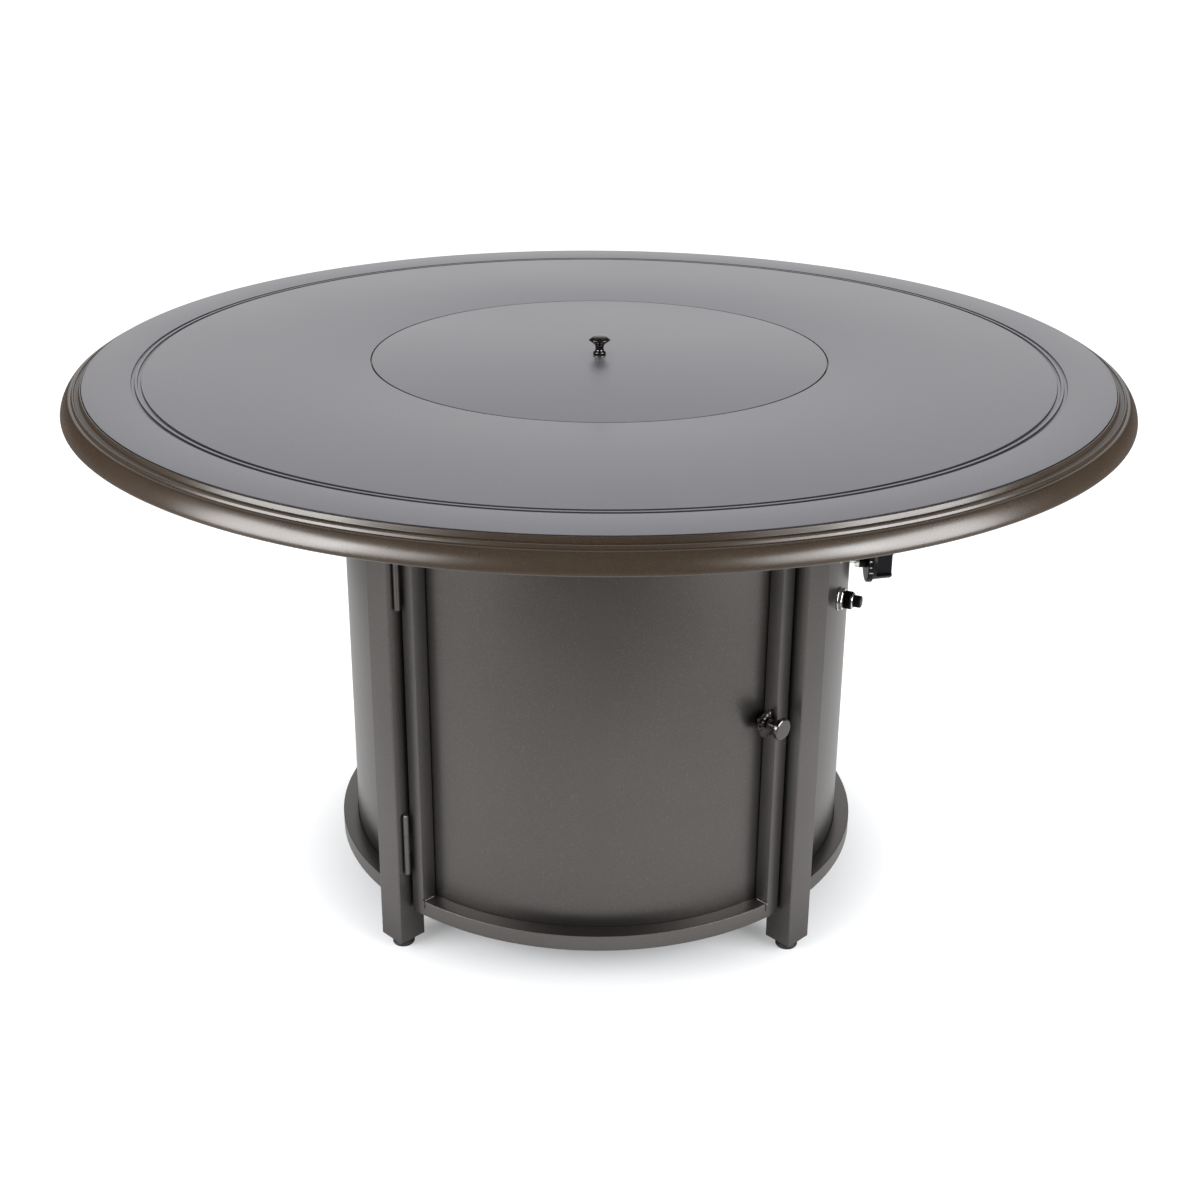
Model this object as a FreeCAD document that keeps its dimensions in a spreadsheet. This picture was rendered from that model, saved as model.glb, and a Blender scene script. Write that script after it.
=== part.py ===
import FreeCAD, Part
import math
import os
import re
import Sketcher
from FreeCAD import Placement, Rotation, Vector

# A round gas fire pit table: a formed metal top with a lift-off burner lid on a drum base.
# The base has four square legs, curved panels and a hinged front door that hides the gas tank.
# Millimetres, +Z up, origin on the floor at the centre, -Y is the door side.

os.makedirs("parts", exist_ok=True)
doc = FreeCAD.newDocument("FirePitTable")
sheet = doc.addObject("Spreadsheet::Sheet", "Sizes")
nodes = []
names = []


def add_sizes(title, sizes):
    """Write one group of driving sizes into the sheet, each a plain number with an alias."""
    row = len(names) + 1
    sheet.set("C%d" % row, title)
    for alias, number in sizes.items():
        sheet.set("A%d" % row, alias)
        sheet.set("B%d" % row, str(number))
        sheet.setAlias("B%d" % row, alias)
        names.append(alias)
        row += 1
    doc.recompute()


def bound(text):
    """Turn a text in size names into an expression on the sheet."""
    return re.sub(r"[a-z][a-z_]*", lambda m: "Sizes." + m.group() if m.group() in names else m.group(), text)


def value(text):
    """The number that a text in size names stands for."""
    return float(sheet.evalExpression(bound(text)))


# Driving sizes

table_sizes = {
    "table_height": 660,
    "table_radius": 609.6,
    "plate_thickness": 3,
    "rim_width": 24.6,
    "plate_edge_round": 1.4,
    "groove_inset": 58,
    "groove_pitch": 7,
    "groove_width": 5,
    "groove_depth": 1.2,
}
rim_sizes = {
    "rim_drop": 31.5,
    "rim_seat": 19,
    "rim_seat_thickness": 4,
    "rim_step": 2.5,
    "rim_bead_width": 3.5,
    "rim_bead_drop": 1.8,
    "rim_bead_lean": 1,
    "rim_shoulder_drop": 5,
    "rim_top_round": 16.3,
    "rim_bottom_round": 9.8,
    "rim_wall": 12,
    "rim_web": 10,
}
lid_sizes = {
    "lid_hole_radius": 266.5,
    "lid_gap": 1.5,
    "lid_edge_round": 0.6,
    "seat_width": 12.5,
    "seat_lap": 17.5,
    "seat_wall": 3,
    "seat_skirt": 25,
    "pan_seat_drop": 10,
    "pan_seat_width": 16,
    "lid_ring_gap": 4,
    "lid_ring_wall": 2,
    "lid_ring_drop": 7,
    "knob_base_radius": 7.5,
    "knob_base_height": 3,
    "knob_neck_radius": 4.9,
    "knob_neck_low": 6,
    "knob_neck_high": 10.5,
    "knob_cap_radius": 12.5,
    "knob_cap_low": 16.5,
    "knob_cap_high": 18.5,
    "knob_crown_radius": 7,
    "knob_rise": 22.5,
    "lid_screw_end_gap": 0.5,
    "lid_screw_radius": 2.5,
    "lid_screw_head_radius": 4.5,
    "lid_screw_head": 2.8,
    "lid_screw_reach": 12,
    "lid_screw_play": 0.1,
}
frame_sizes = {
    "leg_width": 36,
    "leg_wall": 2,
    "leg_round": 2.2,
    "leg_inset": 2,
    "leg_foot": 13,
    "arm_width": 25,
    "arm_wall": 2,
    "tube_width": 19,
    "tube_wall": 1.5,
    "tube_round": 1.2,
    "hoop_gap": 22,
    "ring_foot": 56,
    "weld_gap": 0.1,
    "trim_reach": 20,
    "drill_reach": 15,
    "panel_gap": 0.2,
    "panel_thickness": 1.2,
    "panel_lap": 18,
    "hoop_lap": 15,
    "arm_end_gap": 0.3,
    "bolt_radius": 4,
    "bolt_play": 0.2,
    "bolt_head_radius": 6.5,
    "bolt_head": 4,
    "bolt_end": 6,
}
foot_sizes = {
    "plug_play": 0.2,
    "plug_depth": 18,
    "glide_radius": 13,
    "glide_round": 1.5,
    "stem_radius": 4,
    "stem_length": 16,
    "stem_play": 0.05,
}
door_sizes = {
    "stile_gap": 3.5,
    "door_top_gap": 4,
    "door_panel_lap": 6.5,
    "door_panel_inset": 1,
    "hinge_length": 76,
    "hinge_rise": 89,
    "hinge_drop": 131,
    "hinge_out": 6,
    "hinge_aside": 4,
    "barrel_radius": 3.5,
    "pin_radius": 1.5,
    "pin_play": 0.05,
    "pin_head_radius": 2.6,
    "pin_head": 1.4,
    "leaf_thickness": 1.2,
    "leaf_depth": 18,
    "knuckle_gap": 0.3,
}
latch_sizes = {
    "latch_rise": 254,
    "sleeve_radius": 6.5,
    "sleeve_length": 22,
    "shaft_radius": 4,
    "shaft_hole_play": 1,
    "shaft_play": 0.06,
    "sleeve_proud": 4,
    "rosette_radius": 17,
    "rosette_thickness": 3,
    "rosette_setback": 5,
    "latch_disc_radius": 12.5,
    "latch_disc": 7,
    "latch_hub_radius": 7,
    "latch_hub": 4,
    "latch_run_gap": 0.4,
    "pawl_length": 46,
    "pawl_width": 16,
    "pawl_thickness": 3,
    "pawl_back": 12,
    "latch_nut_radius": 7,
    "latch_nut": 5,
    "strike_length": 26,
    "strike_height": 30,
    "strike_sheet": 2.5,
    "strike_reach": 14.2,
    "strike_gap": 0.8,
}
tank_sizes = {
    "shelf_gap": 4.6,
    "shelf_thickness": 2,
    "tank_ring_radius": 112,
    "tank_ring_height": 12,
    "tank_ring_wall": 3,
}
burner_sizes = {
    "pan_gap": 8,
    "pan_depth": 60,
    "pan_wall": 1.5,
    "pan_flange_gap": 5,
    "pan_hole_radius": 16,
    "burner_radius": 150,
    "burner_tube_radius": 9.5,
    "burner_tube_wall": 1.5,
    "burner_lift": 16,
    "burner_ports": 24,
    "port_radius": 1.6,
    "spoke_radius": 8,
    "spoke_weld": 1,
    "hub_radius": 24,
    "nipple_radius": 10,
    "nipple_drop": 10,
    "shield_inset": 16,
    "shield_thickness": 1.5,
    "shield_drop": 36,
    "shield_post_radius": 4,
    "shield_post_inset": 14,
    "mixer_block": 22,
    "mixer_tube_radius": 9,
    "mixer_bore": 6,
    "mixer_length": 90,
    "mixer_cap": 9,
    "mixer_window_length": 16,
    "mixer_window_width": 6,
}
gas_sizes = {
    "control_drop": 255,
    "valve_depth": 30,
    "valve_seat_gap": 0.6,
    "valve_width": 32,
    "valve_height": 44,
    "spindle_radius": 4,
    "spindle_play": 0.06,
    "spindle_end_gap": 0.5,
    "spindle_hole_play": 1.5,
    "spindle_out": 10,
    "collar_radius": 9.2,
    "collar_length": 4,
    "knob_hub_radius": 9,
    "knob_hub": 9,
    "knob_skirt_radius": 27,
    "knob_skirt": 7,
    "knob_body_radius": 24,
    "knob_nose_radius": 21,
    "knob_body": 24,
    "knob_cheek": 13,
    "knob_flat": 4,
    "gas_tube_radius": 4,
    "gas_bend_radius": 26,
    "inlet_radius": 7.94,
    "inlet_thread": 14,
    "inlet_drop": 38,
    "inlet_hex_radius": 12,
    "inlet_hex_length": 12,
    "inlet_bore": 4,
}
control_sizes = {
    "bracket_sheet": 2,
    "bracket_strip_rise": 30,
    "bracket_strip_width": 35,
    "bracket_strip_angle": 27,
    "bracket_tab_angle": 5,
    "screw_angle": 24,
    "screw_rise": 20,
    "screw_radius": 2,
    "screw_play": 0.1,
    "screw_tip": 0.5,
    "screw_head_radius": 3.8,
    "screw_head": 1.8,
    "screw_length": 9,
    "igniter_angle": 23,
    "igniter_nut_radius": 14,
    "igniter_nut": 5.5,
    "igniter_barrel_radius": 10.5,
    "igniter_barrel": 12,
    "igniter_thread_radius": 9.5,
    "igniter_depth": 26,
    "igniter_flange_radius": 12.5,
    "igniter_flange": 3,
    "igniter_flange_gap": 0.35,
    "igniter_nut_gap": 0.1,
    "igniter_hole_play": 0.4,
    "button_radius": 7.2,
    "button_play": 0.08,
    "button_out": 9.5,
    "button_sunk": 6,
    "button_travel": 4,
    "button_end_gap": 0.5,
    "lead_radius": 1.75,
    "lead_wall_gap": 6,
    "lead_back": 36,
    "lead_rise": 60,
    "lead_slant": 40,
    "lead_over_drop": 20,
    "clip_drop": 43,
    "clip_length": 10,
    "clip_width": 10,
    "clip_wall": 2,
    "electrode_radius": 4.5,
    "electrode_play": 0.1,
    "electrode_tail": 8,
    "electrode_offset": 28,
    "electrode_rise": 34,
    "electrode_tip_radius": 1.1,
    "electrode_tip": 12,
}
for title, sizes in (("table", table_sizes), ("rim", rim_sizes), ("lid", lid_sizes), ("frame", frame_sizes),
                     ("feet", foot_sizes), ("door", door_sizes), ("latch", latch_sizes),
                     ("tank shelf", tank_sizes), ("burner", burner_sizes), ("gas", gas_sizes),
                     ("control bracket and igniter", control_sizes)):
    add_sizes(title, sizes)

# Heights and radii that several pieces share, worked out from the sizes above

plate_radius = "(table_radius - rim_width)"
groove_radius = "(table_radius - rim_width - groove_inset)"
plate_under = "(table_height - plate_thickness)"
arm_under = "(%s - arm_width)" % plate_under
leg_top = "(%s - tube_width)" % arm_under
seat_inner = "(lid_hole_radius - seat_width)"
seat_outer = "(lid_hole_radius + seat_lap)"
ring_inner = "(%s + hoop_gap)" % seat_outer
ring_outer = "(%s + tube_width)" % ring_inner
ring_top = "(ring_foot + tube_width)"
leg_inner = "(%s - leg_inset)" % ring_inner
leg_centre = "(%s + leg_width / 2)" % leg_inner
leg_outer = "(%s + leg_width)" % leg_inner
panel_outer = "(%s - panel_gap)" % ring_inner
panel_inner = "(%s - panel_thickness)" % panel_outer
stile_near = "(leg_width / 2 + stile_gap)"
stile_far = "(%s + tube_width)" % stile_near
stile_inner = leg_inner
stile_outer = "(%s + tube_width)" % stile_inner
door_top = "(%s - door_top_gap)" % leg_top
pan_seat_top = "(%s - pan_seat_drop)" % plate_under
pan_radius = "(%s - pan_seat_width - pan_gap)" % seat_inner
pan_floor = "(%s - pan_depth)" % pan_seat_top
shield_top = "(%s - shield_drop)" % pan_floor
electrode_circle = "(burner_radius + electrode_offset)"
latch_aside = "(%s + sleeve_radius)" % stile_far
latch_height = "(ring_foot + latch_rise)"
control_height = "(%s - control_drop)" % plate_under


# Helpers for sketches, features and placing


def new_body(label):
    """An empty body for one machined or formed piece."""
    body = doc.addObject("PartDesign::Body", label)
    body.Label = label
    return body


def new_sketch(body, role, lift="0"):
    """A sketch on one of the body's own origin planes, lifted along the plane's normal."""
    sketch = body.newObject("Sketcher::SketchObject", body.Name + "_sketch")
    plane = [item for item in body.Origin.OriginFeatures if item.Role == role][0]
    sketch.AttachmentSupport = [(plane, "")]
    sketch.MapMode = "FlatFace"
    sketch.setExpression("AttachmentOffset.Base.z", bound(lift))
    return sketch


def add_polygon(sketch, corners):
    """A closed outline whose every corner is tied to the sheet."""
    first = sketch.GeometryCount
    count = len(corners)
    points = [Vector(value(x), value(y), 0) for x, y in corners]
    for index, point in enumerate(points):
        sketch.addGeometry(Part.LineSegment(point, points[(index + 1) % count]))
    for index, (x, y) in enumerate(corners):
        edge = first + index
        sketch.addConstraint(Sketcher.Constraint("Coincident", edge, 2, first + (index + 1) % count, 1))
        for axis, text in (("DistanceX", x), ("DistanceY", y)):
            rule = sketch.addConstraint(Sketcher.Constraint(axis, -1, 1, edge, 1, value(text)))
            sketch.setExpression("Constraints[%d]" % rule, bound(text))


def add_box(sketch, left, right, low, high):
    """A rectangle between four tied sides."""
    add_polygon(sketch, [(left, low), (right, low), (right, high), (left, high)])


def add_circle(sketch, x, y, radius):
    """A circle whose centre and radius are tied to the sheet."""
    circle = sketch.addGeometry(Part.Circle(Vector(value(x), value(y), 0), Vector(0, 0, 1), value(radius)))
    for axis, text in (("DistanceX", x), ("DistanceY", y)):
        rule = sketch.addConstraint(Sketcher.Constraint(axis, -1, 1, circle, 3, value(text)))
        sketch.setExpression("Constraints[%d]" % rule, bound(text))
    rule = sketch.addConstraint(Sketcher.Constraint("Radius", circle, value(radius)))
    sketch.setExpression("Constraints[%d]" % rule, bound(radius))


def add_pad(body, sketch, length, midplane=False):
    """Thicken a sketch into solid metal."""
    pad = body.newObject("PartDesign::Pad", body.Name + "_pad")
    pad.Profile = sketch
    pad.setExpression("Length", bound(length))
    pad.Midplane = midplane
    doc.recompute()
    return pad


def add_pocket(body, sketch, length, reverse=False):
    """Cut a sketch out of the body, and make sure that it cut something."""
    before = body.Shape.Volume
    pocket = body.newObject("PartDesign::Pocket", body.Name + "_pocket")
    pocket.Profile = sketch
    pocket.setExpression("Length", bound(length))
    pocket.Reversed = reverse
    doc.recompute()
    if body.Shape.Volume > before - 0.01:
        raise RuntimeError(body.Name + ": the pocket cuts nothing")
    return pocket


def add_turning(body, sketch, angle="360"):
    """Turn a sketch about the vertical axis, centred on the sketch plane."""
    turning = body.newObject("PartDesign::Revolution", body.Name + "_turning")
    turning.Profile = sketch
    turning.ReferenceAxis = (sketch, ["V_Axis"])
    turning.setExpression("Angle", bound(angle))
    turning.Midplane = True
    doc.recompute()
    return turning


def round_edges(body, feature, radius, chosen):
    """Round the edges that the test picks."""
    edges = ["Edge%d" % (i + 1) for i, edge in enumerate(feature.Shape.Edges) if chosen(edge)]
    if not edges:
        raise RuntimeError(body.Name + ": no edge to round")
    fillet = body.newObject("PartDesign::Fillet", body.Name + "_round")
    fillet.Base = (feature, edges)
    fillet.setExpression("Radius", bound(radius))
    doc.recompute()
    return fillet


def circle_edge(radius, height):
    """A test for the circular edge of one radius at one height."""
    def test(edge):
        curve = edge.Curve
        if not isinstance(curve, Part.Circle):
            return False
        return abs(curve.Radius - value(radius)) < 0.01 and abs(curve.Center.z - value(height)) < 0.01
    return test


def upright_edge(edge):
    """A test for straight vertical edges."""
    return isinstance(edge.Curve, Part.Line) and abs(edge.tangentAt(edge.FirstParameter).z) > 0.99


def turned(azimuth):
    """A turn about the table's axis."""
    return Placement(Vector(0, 0, 0), Rotation(Vector(0, 0, 1), azimuth))


def local(azimuth, out="0", aside="0", height="0"):
    """A place given along a leg's or panel's own outward direction, to its left, and up."""
    return turned(azimuth).multiply(Placement(Vector(value(out), value(aside), value(height)), Rotation()))


def lathe(label, corners):
    """A turned ring or disc from its half section."""
    body = new_body(label)
    sketch = new_sketch(body, "XZ_Plane")
    add_polygon(sketch, corners)
    add_turning(body, sketch)
    return body


def cylinder(name, radius, length, place, lying=False):
    """A plain cylinder, upright or lying along the place's own outward direction."""
    item = doc.addObject("Part::Cylinder", name)
    item.setExpression("Radius", bound(radius))
    item.setExpression("Height", bound(length))
    lay = Placement(Vector(0, 0, 0), Rotation(Vector(0, 1, 0), 90 if lying else 0))
    item.Placement = place.multiply(lay)
    return item


def block(name, length, width, height, place):
    """A plain block, centred on its width, that starts at the place and runs outward and up."""
    item = doc.addObject("Part::Box", name)
    item.setExpression("Length", bound(length))
    item.setExpression("Width", bound(width))
    item.setExpression("Height", bound(height))
    item.Placement = place.multiply(Placement(Vector(0, -value(width) / 2, 0), Rotation()))
    return item


def join(label, items):
    """Several shapes made one solid."""
    fused = doc.addObject("Part::MultiFuse", label)
    fused.Label = label
    fused.Shapes = items
    doc.recompute()
    return fused


def cut(label, base, tool):
    """One shape with another taken out of it."""
    result = doc.addObject("Part::Cut", label)
    result.Label = label
    result.Base = base
    result.Tool = tool
    doc.recompute()
    return result


def group(label, items):
    """Like pieces that share one node as separate solids."""
    compound = doc.addObject("Part::Compound", label)
    compound.Label = label
    compound.Links = items
    doc.recompute()
    return compound


def keep(item, label):
    """Put a finished piece on the list of nodes."""
    item.Label = label
    nodes.append((label, item))
    return item


legs = {"front_right": -45, "rear_right": 45, "rear_left": 135, "front_left": -135}
sides = {"right": 0, "rear": 90, "left": 180}

# Top plate: a flat sheet disc with two pressed grooves and a rounded edge on the rim's seat


def groove(centre):
    """The three corners of one pressed groove, from outside to inside."""
    return [(centre + " + groove_width / 2", "table_height"),
            (centre, "table_height - groove_depth"),
            (centre + " - groove_width / 2", "table_height")]


plate = lathe("table_plate", [
    ("lid_hole_radius", plate_under),
    (plate_radius, plate_under),
    (plate_radius, "table_height"),
    *groove(groove_radius + " + groove_pitch / 2"),
    *groove(groove_radius + " - groove_pitch / 2"),
    ("lid_hole_radius", "table_height"),
])
round_edges(plate, plate.Tip, "plate_edge_round", circle_edge(plate_radius, "table_height"))
keep(plate, "table_plate")

# Rim: a formed bullnose ring, with a seat under the plate and a small bead beside its edge

bead_inner = "(%s + rim_step)" % plate_radius
bead_outer = "(%s + rim_bead_width)" % bead_inner
rim_seat_inner = "(%s - rim_seat)" % plate_radius
rim_low = "(table_height - rim_drop)"
shoulder = "(table_height - rim_shoulder_drop)"
rim = lathe("table_rim", [
    (rim_seat_inner, plate_under),
    (bead_inner, plate_under),
    (bead_inner, "table_height - rim_bead_drop"),
    (bead_outer, "table_height - rim_bead_drop"),
    (bead_outer + " + rim_bead_lean", shoulder),
    ("table_radius", shoulder),
    ("table_radius", rim_low),
    ("table_radius - rim_wall", rim_low),
    ("table_radius - rim_wall", "table_height - rim_web"),
    (plate_radius, plate_under + " - rim_seat_thickness"),
    (rim_seat_inner, plate_under + " - rim_seat_thickness"),
])
nose = round_edges(rim, rim.Tip, "rim_top_round", circle_edge("table_radius", shoulder))
round_edges(rim, nose, "rim_bottom_round", circle_edge("table_radius", rim_low))
keep(rim, "table_rim")

# Lid seat: a stepped ring under the plate that carries the lid, and the burner pan on a lower step

seat = lathe("lid_seat", [
    (seat_inner, plate_under),
    (seat_outer, plate_under),
    (seat_outer, plate_under + " - seat_skirt"),
    (seat_outer + " - seat_wall", plate_under + " - seat_skirt"),
    (seat_outer + " - seat_wall", plate_under + " - seat_wall"),
    (seat_inner + " + seat_wall", plate_under + " - seat_wall"),
    (seat_inner + " + seat_wall", pan_seat_top + " - seat_wall"),
    (seat_inner + " - pan_seat_width", pan_seat_top + " - seat_wall"),
    (seat_inner + " - pan_seat_width", pan_seat_top),
    (seat_inner, pan_seat_top),
])
keep(seat, "lid_seat")

# Lid: a flat disc flush with the plate, with a ring under it that finds its place in the seat

lid_radius = "(lid_hole_radius - lid_gap)"
lid = lathe("lid_disc", [
    ("lid_screw_radius + lid_screw_play", plate_under),
    (lid_radius, plate_under),
    (lid_radius, "table_height"),
    ("lid_screw_radius + lid_screw_play", "table_height"),
])
round_edges(lid, lid.Tip, "lid_edge_round", circle_edge(lid_radius, "table_height"))
keep(lid, "lid_disc")
lid_ring_radius = "(%s - lid_ring_gap)" % seat_inner
lid_ring = lathe("lid_ring", [
    (lid_ring_radius + " - lid_ring_wall", plate_under + " - lid_ring_drop"),
    (lid_ring_radius, plate_under + " - lid_ring_drop"),
    (lid_ring_radius, plate_under),
    (lid_ring_radius + " - lid_ring_wall", plate_under),
])
keep(lid_ring, "lid_ring")

# Lid knob: a small turned pull, held from below by one screw


screw_bore = "lid_screw_radius + lid_screw_play / 2"
screw_end = "(table_height + lid_screw_reach)"
lid_knob = lathe("lid_knob", [
    (screw_bore, "table_height"),
    ("knob_base_radius", "table_height"),
    ("knob_base_radius", "table_height + knob_base_height"),
    ("knob_neck_radius", "table_height + knob_neck_low"),
    ("knob_neck_radius", "table_height + knob_neck_high"),
    ("knob_cap_radius", "table_height + knob_cap_low"),
    ("knob_cap_radius", "table_height + knob_cap_high"),
    ("knob_crown_radius", "table_height + knob_rise"),
    ("0", "table_height + knob_rise"),
    ("0", screw_end + " + lid_screw_end_gap"),
    (screw_bore, screw_end + " + lid_screw_end_gap"),
])
keep(lid_knob, "lid_knob")
lid_screw = lathe("lid_screw", [
    ("0", plate_under + " - lid_screw_head"),
    ("lid_screw_head_radius", plate_under + " - lid_screw_head"),
    ("lid_screw_head_radius", plate_under),
    ("lid_screw_radius", plate_under),
    ("lid_screw_radius", screw_end),
    ("0", screw_end),
])
keep(lid_screw, "lid_screw")

# Arms: four square tubes that carry the top from the lid seat out to the rim


def make_arm(label, azimuth):
    """One arm, hollow along its length, drilled for the bolt that holds it to the hoop."""
    body = new_body(label + "_tube")
    sketch = new_sketch(body, "YZ_Plane", seat_outer)
    middle = arm_under + " + arm_width / 2"
    for half in ("(arm_width / 2)", "(arm_width / 2 - arm_wall)"):
        add_box(sketch, "-" + half, half, middle + " - " + half, middle + " + " + half)
    add_pad(body, sketch, rim_seat_inner + " - arm_end_gap - " + seat_outer)
    body.Placement = turned(azimuth)
    keep(cut(label, body, bolt_room), label)


bolt_out = "(%s + tube_width / 2)" % ring_inner
bolt_low = "(%s - tube_wall - bolt_end)" % arm_under
bolt_holes = []
for azimuth in legs.values():
    bolt_holes.append(cylinder("bolt_hole", "bolt_radius + bolt_play", "arm_wall + tube_wall + 2 * bolt_end",
                               local(azimuth, bolt_out, "0", bolt_low)))
bolt_room = group("bolt_room", bolt_holes)
for corner, azimuth in legs.items():
    make_arm("top_arm_" + corner, azimuth)


def tube_ring(label, foot, angle, azimuth):
    """A rolled square tube, centred on one azimuth."""
    body = new_body(label)
    sketch = new_sketch(body, "XZ_Plane")
    add_box(sketch, ring_inner, ring_outer, foot, foot + " + tube_width")
    add_box(sketch, ring_inner + " + tube_wall", ring_outer + " - tube_wall",
            foot + " + tube_wall", foot + " + tube_width - tube_wall")
    add_turning(body, sketch, angle)
    body.Placement = turned(azimuth)
    return body


# Hoop: one rolled tube on top of the four legs, under the arms

hoop = tube_ring("hoop_tube", leg_top, "360", 0)
keep(cut("base_hoop", hoop, bolt_room), "base_hoop")

# Legs: square tubes with a closed top, each with a plug and a levelling glide below


def make_leg(label, azimuth):
    """One leg, open below for its plug."""
    body = new_body(label)
    outline = new_sketch(body, "XY_Plane", "leg_foot")
    add_box(outline, leg_inner, leg_outer, "-leg_width / 2", "leg_width / 2")
    pad = add_pad(body, outline, leg_top + " - leg_foot")
    round_edges(body, pad, "leg_round", upright_edge)
    hollow = new_sketch(body, "XY_Plane", "leg_foot")
    add_box(hollow, leg_inner + " + leg_wall", leg_outer + " - leg_wall",
            "-leg_width / 2 + leg_wall", "leg_width / 2 - leg_wall")
    add_pocket(body, hollow, leg_top + " - leg_foot - leg_wall", reverse=True)
    body.Placement = turned(azimuth)
    keep(body, label)


def make_plug(azimuth):
    """The plastic insert in a leg's foot, bored for the glide's stem."""
    side = "leg_width - 2 * leg_wall - plug_play"
    place = local(azimuth, leg_inner + " + leg_wall + plug_play / 2", "0", "leg_foot")
    solid = block("plug_block", side, side, "plug_depth", place)
    bore = cylinder("plug_bore", "stem_radius + stem_play", "plug_depth",
                    local(azimuth, leg_centre, "0", "leg_foot"))
    return cut("plug", solid, bore)


def make_glide(label, azimuth):
    """A foot disc with its stem, which turns in the plug to level the table."""
    body = new_body(label)
    sketch = new_sketch(body, "XZ_Plane")
    add_polygon(sketch, [
        ("0", "0"),
        ("glide_radius - glide_round", "0"),
        ("glide_radius", "glide_round"),
        ("glide_radius", "leg_foot"),
        ("stem_radius", "leg_foot"),
        ("stem_radius", "leg_foot + stem_length"),
        ("0", "leg_foot + stem_length"),
    ])
    add_turning(body, sketch)
    body.Placement = local(azimuth, leg_centre)
    keep(body, label)


for corner, azimuth in legs.items():
    make_leg("leg_" + corner, azimuth)
keep(group("leg_plugs", [make_plug(azimuth) for azimuth in legs.values()]), "leg_plugs")
for corner, azimuth in legs.items():
    make_glide("glide_" + corner, azimuth)

# Room kept for the legs, and for the stiles beside the front legs, in whatever is cut to meet them


def keep_out(name, azimuth, left, right):
    """A tall block along one leg's direction, between two distances to its left."""
    wide = "(%s) - (%s)" % (left, right)
    place = local(azimuth, leg_inner + " - trim_reach", "((%s) + (%s)) / 2" % (left, right))
    return block(name, "leg_width + 2 * trim_reach", wide, "table_height", place)


leg_room = "(leg_width / 2 + weld_gap)"
leg_zones = group("leg_zones", [keep_out("leg_zone", azimuth, leg_room, "-" + leg_room)
                                for azimuth in legs.values()])
stile_room = "(" + stile_far + " + weld_gap)"
stile_zones = group("stile_zones", [
    keep_out("stile_zone_left", legs["front_left"], stile_room, "-" + stile_room),
    keep_out("stile_zone_right", legs["front_right"], stile_room, "-" + stile_room),
])

# Curved sheet: panels follow the inside of the rolled tubes


def sheet_arc(name, low, high, angle, azimuth, outer=panel_outer, inner=panel_inner):
    """A rolled sheet centred on one azimuth."""
    body = new_body(name)
    sketch = new_sketch(body, "XZ_Plane")
    add_box(sketch, inner, outer, low, high)
    add_turning(body, sketch, angle)
    body.Placement = turned(azimuth)
    return body


quarter = "%g" % (360 / len(legs))
panel_low = "(%s - panel_lap)" % ring_top
panel_high = "(%s + hoop_lap)" % leg_top


def panel_drill(name, radius, angle, height):
    """A drill through the right panel and whatever lies against it."""
    place = local(angle, panel_inner + " - drill_reach", "0", height)
    return cylinder(name, radius, "2 * drill_reach", place, lying=True)


strip_low = "(%s + bracket_strip_rise)" % control_height
screw_height = "(%s + screw_rise)" % strip_low
control_holes = [
    panel_drill("spindle_hole", "spindle_radius + spindle_hole_play", 0, control_height),
    panel_drill("igniter_hole", "igniter_thread_radius + igniter_hole_play", -value("igniter_angle"),
                control_height),
]
for name, angle in (("front", -value("screw_angle")), ("rear", value("screw_angle"))):
    control_holes.append(panel_drill("screw_hole_" + name, "screw_radius + screw_play", angle,
                                     screw_height))
control_hole_group = group("control_holes", control_holes)

for side, azimuth in sides.items():
    ring = tube_ring("ring_blank_" + side, "ring_foot", quarter, azimuth)
    keep(cut("lower_ring_" + side, ring, leg_zones), "lower_ring_" + side)
    blank = sheet_arc("panel_blank_" + side, panel_low, panel_high, quarter, azimuth)
    panel = cut("panel_trim_" + side, blank, leg_zones)
    if side == "right":
        panel = cut("panel_drilled", panel, control_hole_group)
    keep(panel, "side_panel_" + side)

# Door: two square stiles and two curved rails welded round a curved panel


def make_stile(label, azimuth, hand):
    """One upright of the door frame, parallel to the leg beside it."""
    body = new_body(label)
    sketch = new_sketch(body, "XY_Plane", "ring_foot")
    near = stile_near if hand > 0 else "-" + stile_far
    add_box(sketch, stile_inner, stile_outer, near, near + " + tube_width")
    add_box(sketch, stile_inner + " + tube_wall", stile_outer + " - tube_wall",
            near + " + tube_wall", near + " + tube_width - tube_wall")
    pad = add_pad(body, sketch, door_top + " - ring_foot")

    def outside(edge):
        middle = edge.valueAt(edge.FirstParameter)
        inside = value(stile_inner) + 1 < middle.x < value(stile_outer) - 1
        return upright_edge(edge) and not inside

    round_edges(body, pad, "tube_round", outside)
    body.Placement = turned(azimuth)
    keep(body, label)


make_stile("door_stile_hinge", legs["front_left"], 1)
make_stile("door_stile_latch", legs["front_right"], -1)
for name, foot in (("bottom", "ring_foot"), ("top", door_top + " - tube_width")):
    blank = tube_ring("rail_blank_" + name, foot, quarter, -90)
    keep(cut("door_rail_" + name, blank, stile_zones), "door_rail_" + name)

door_half = 45 - math.degrees(math.asin(value(stile_far + " - door_panel_lap") / value(panel_outer)))
door_blank = sheet_arc("door_blank", panel_low, door_top + " - door_panel_inset",
                       "%.4f" % (2 * door_half), -90)
shaft_hole = cylinder("shaft_hole", "shaft_radius + shaft_hole_play", "2 * drill_reach",
                      local(legs["front_right"], panel_inner + " - drill_reach", "-" + latch_aside,
                            latch_height), lying=True)
keep(cut("door_panel", door_blank, shaft_hole), "door_panel")

# Hinges: two butt hinges in the gap between the left front leg and the door

axis_out = "(%s + hinge_out)" % stile_outer
axis_aside = "(leg_width / 2 + hinge_aside)"
knuckle = "(hinge_length / 3)"


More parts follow.
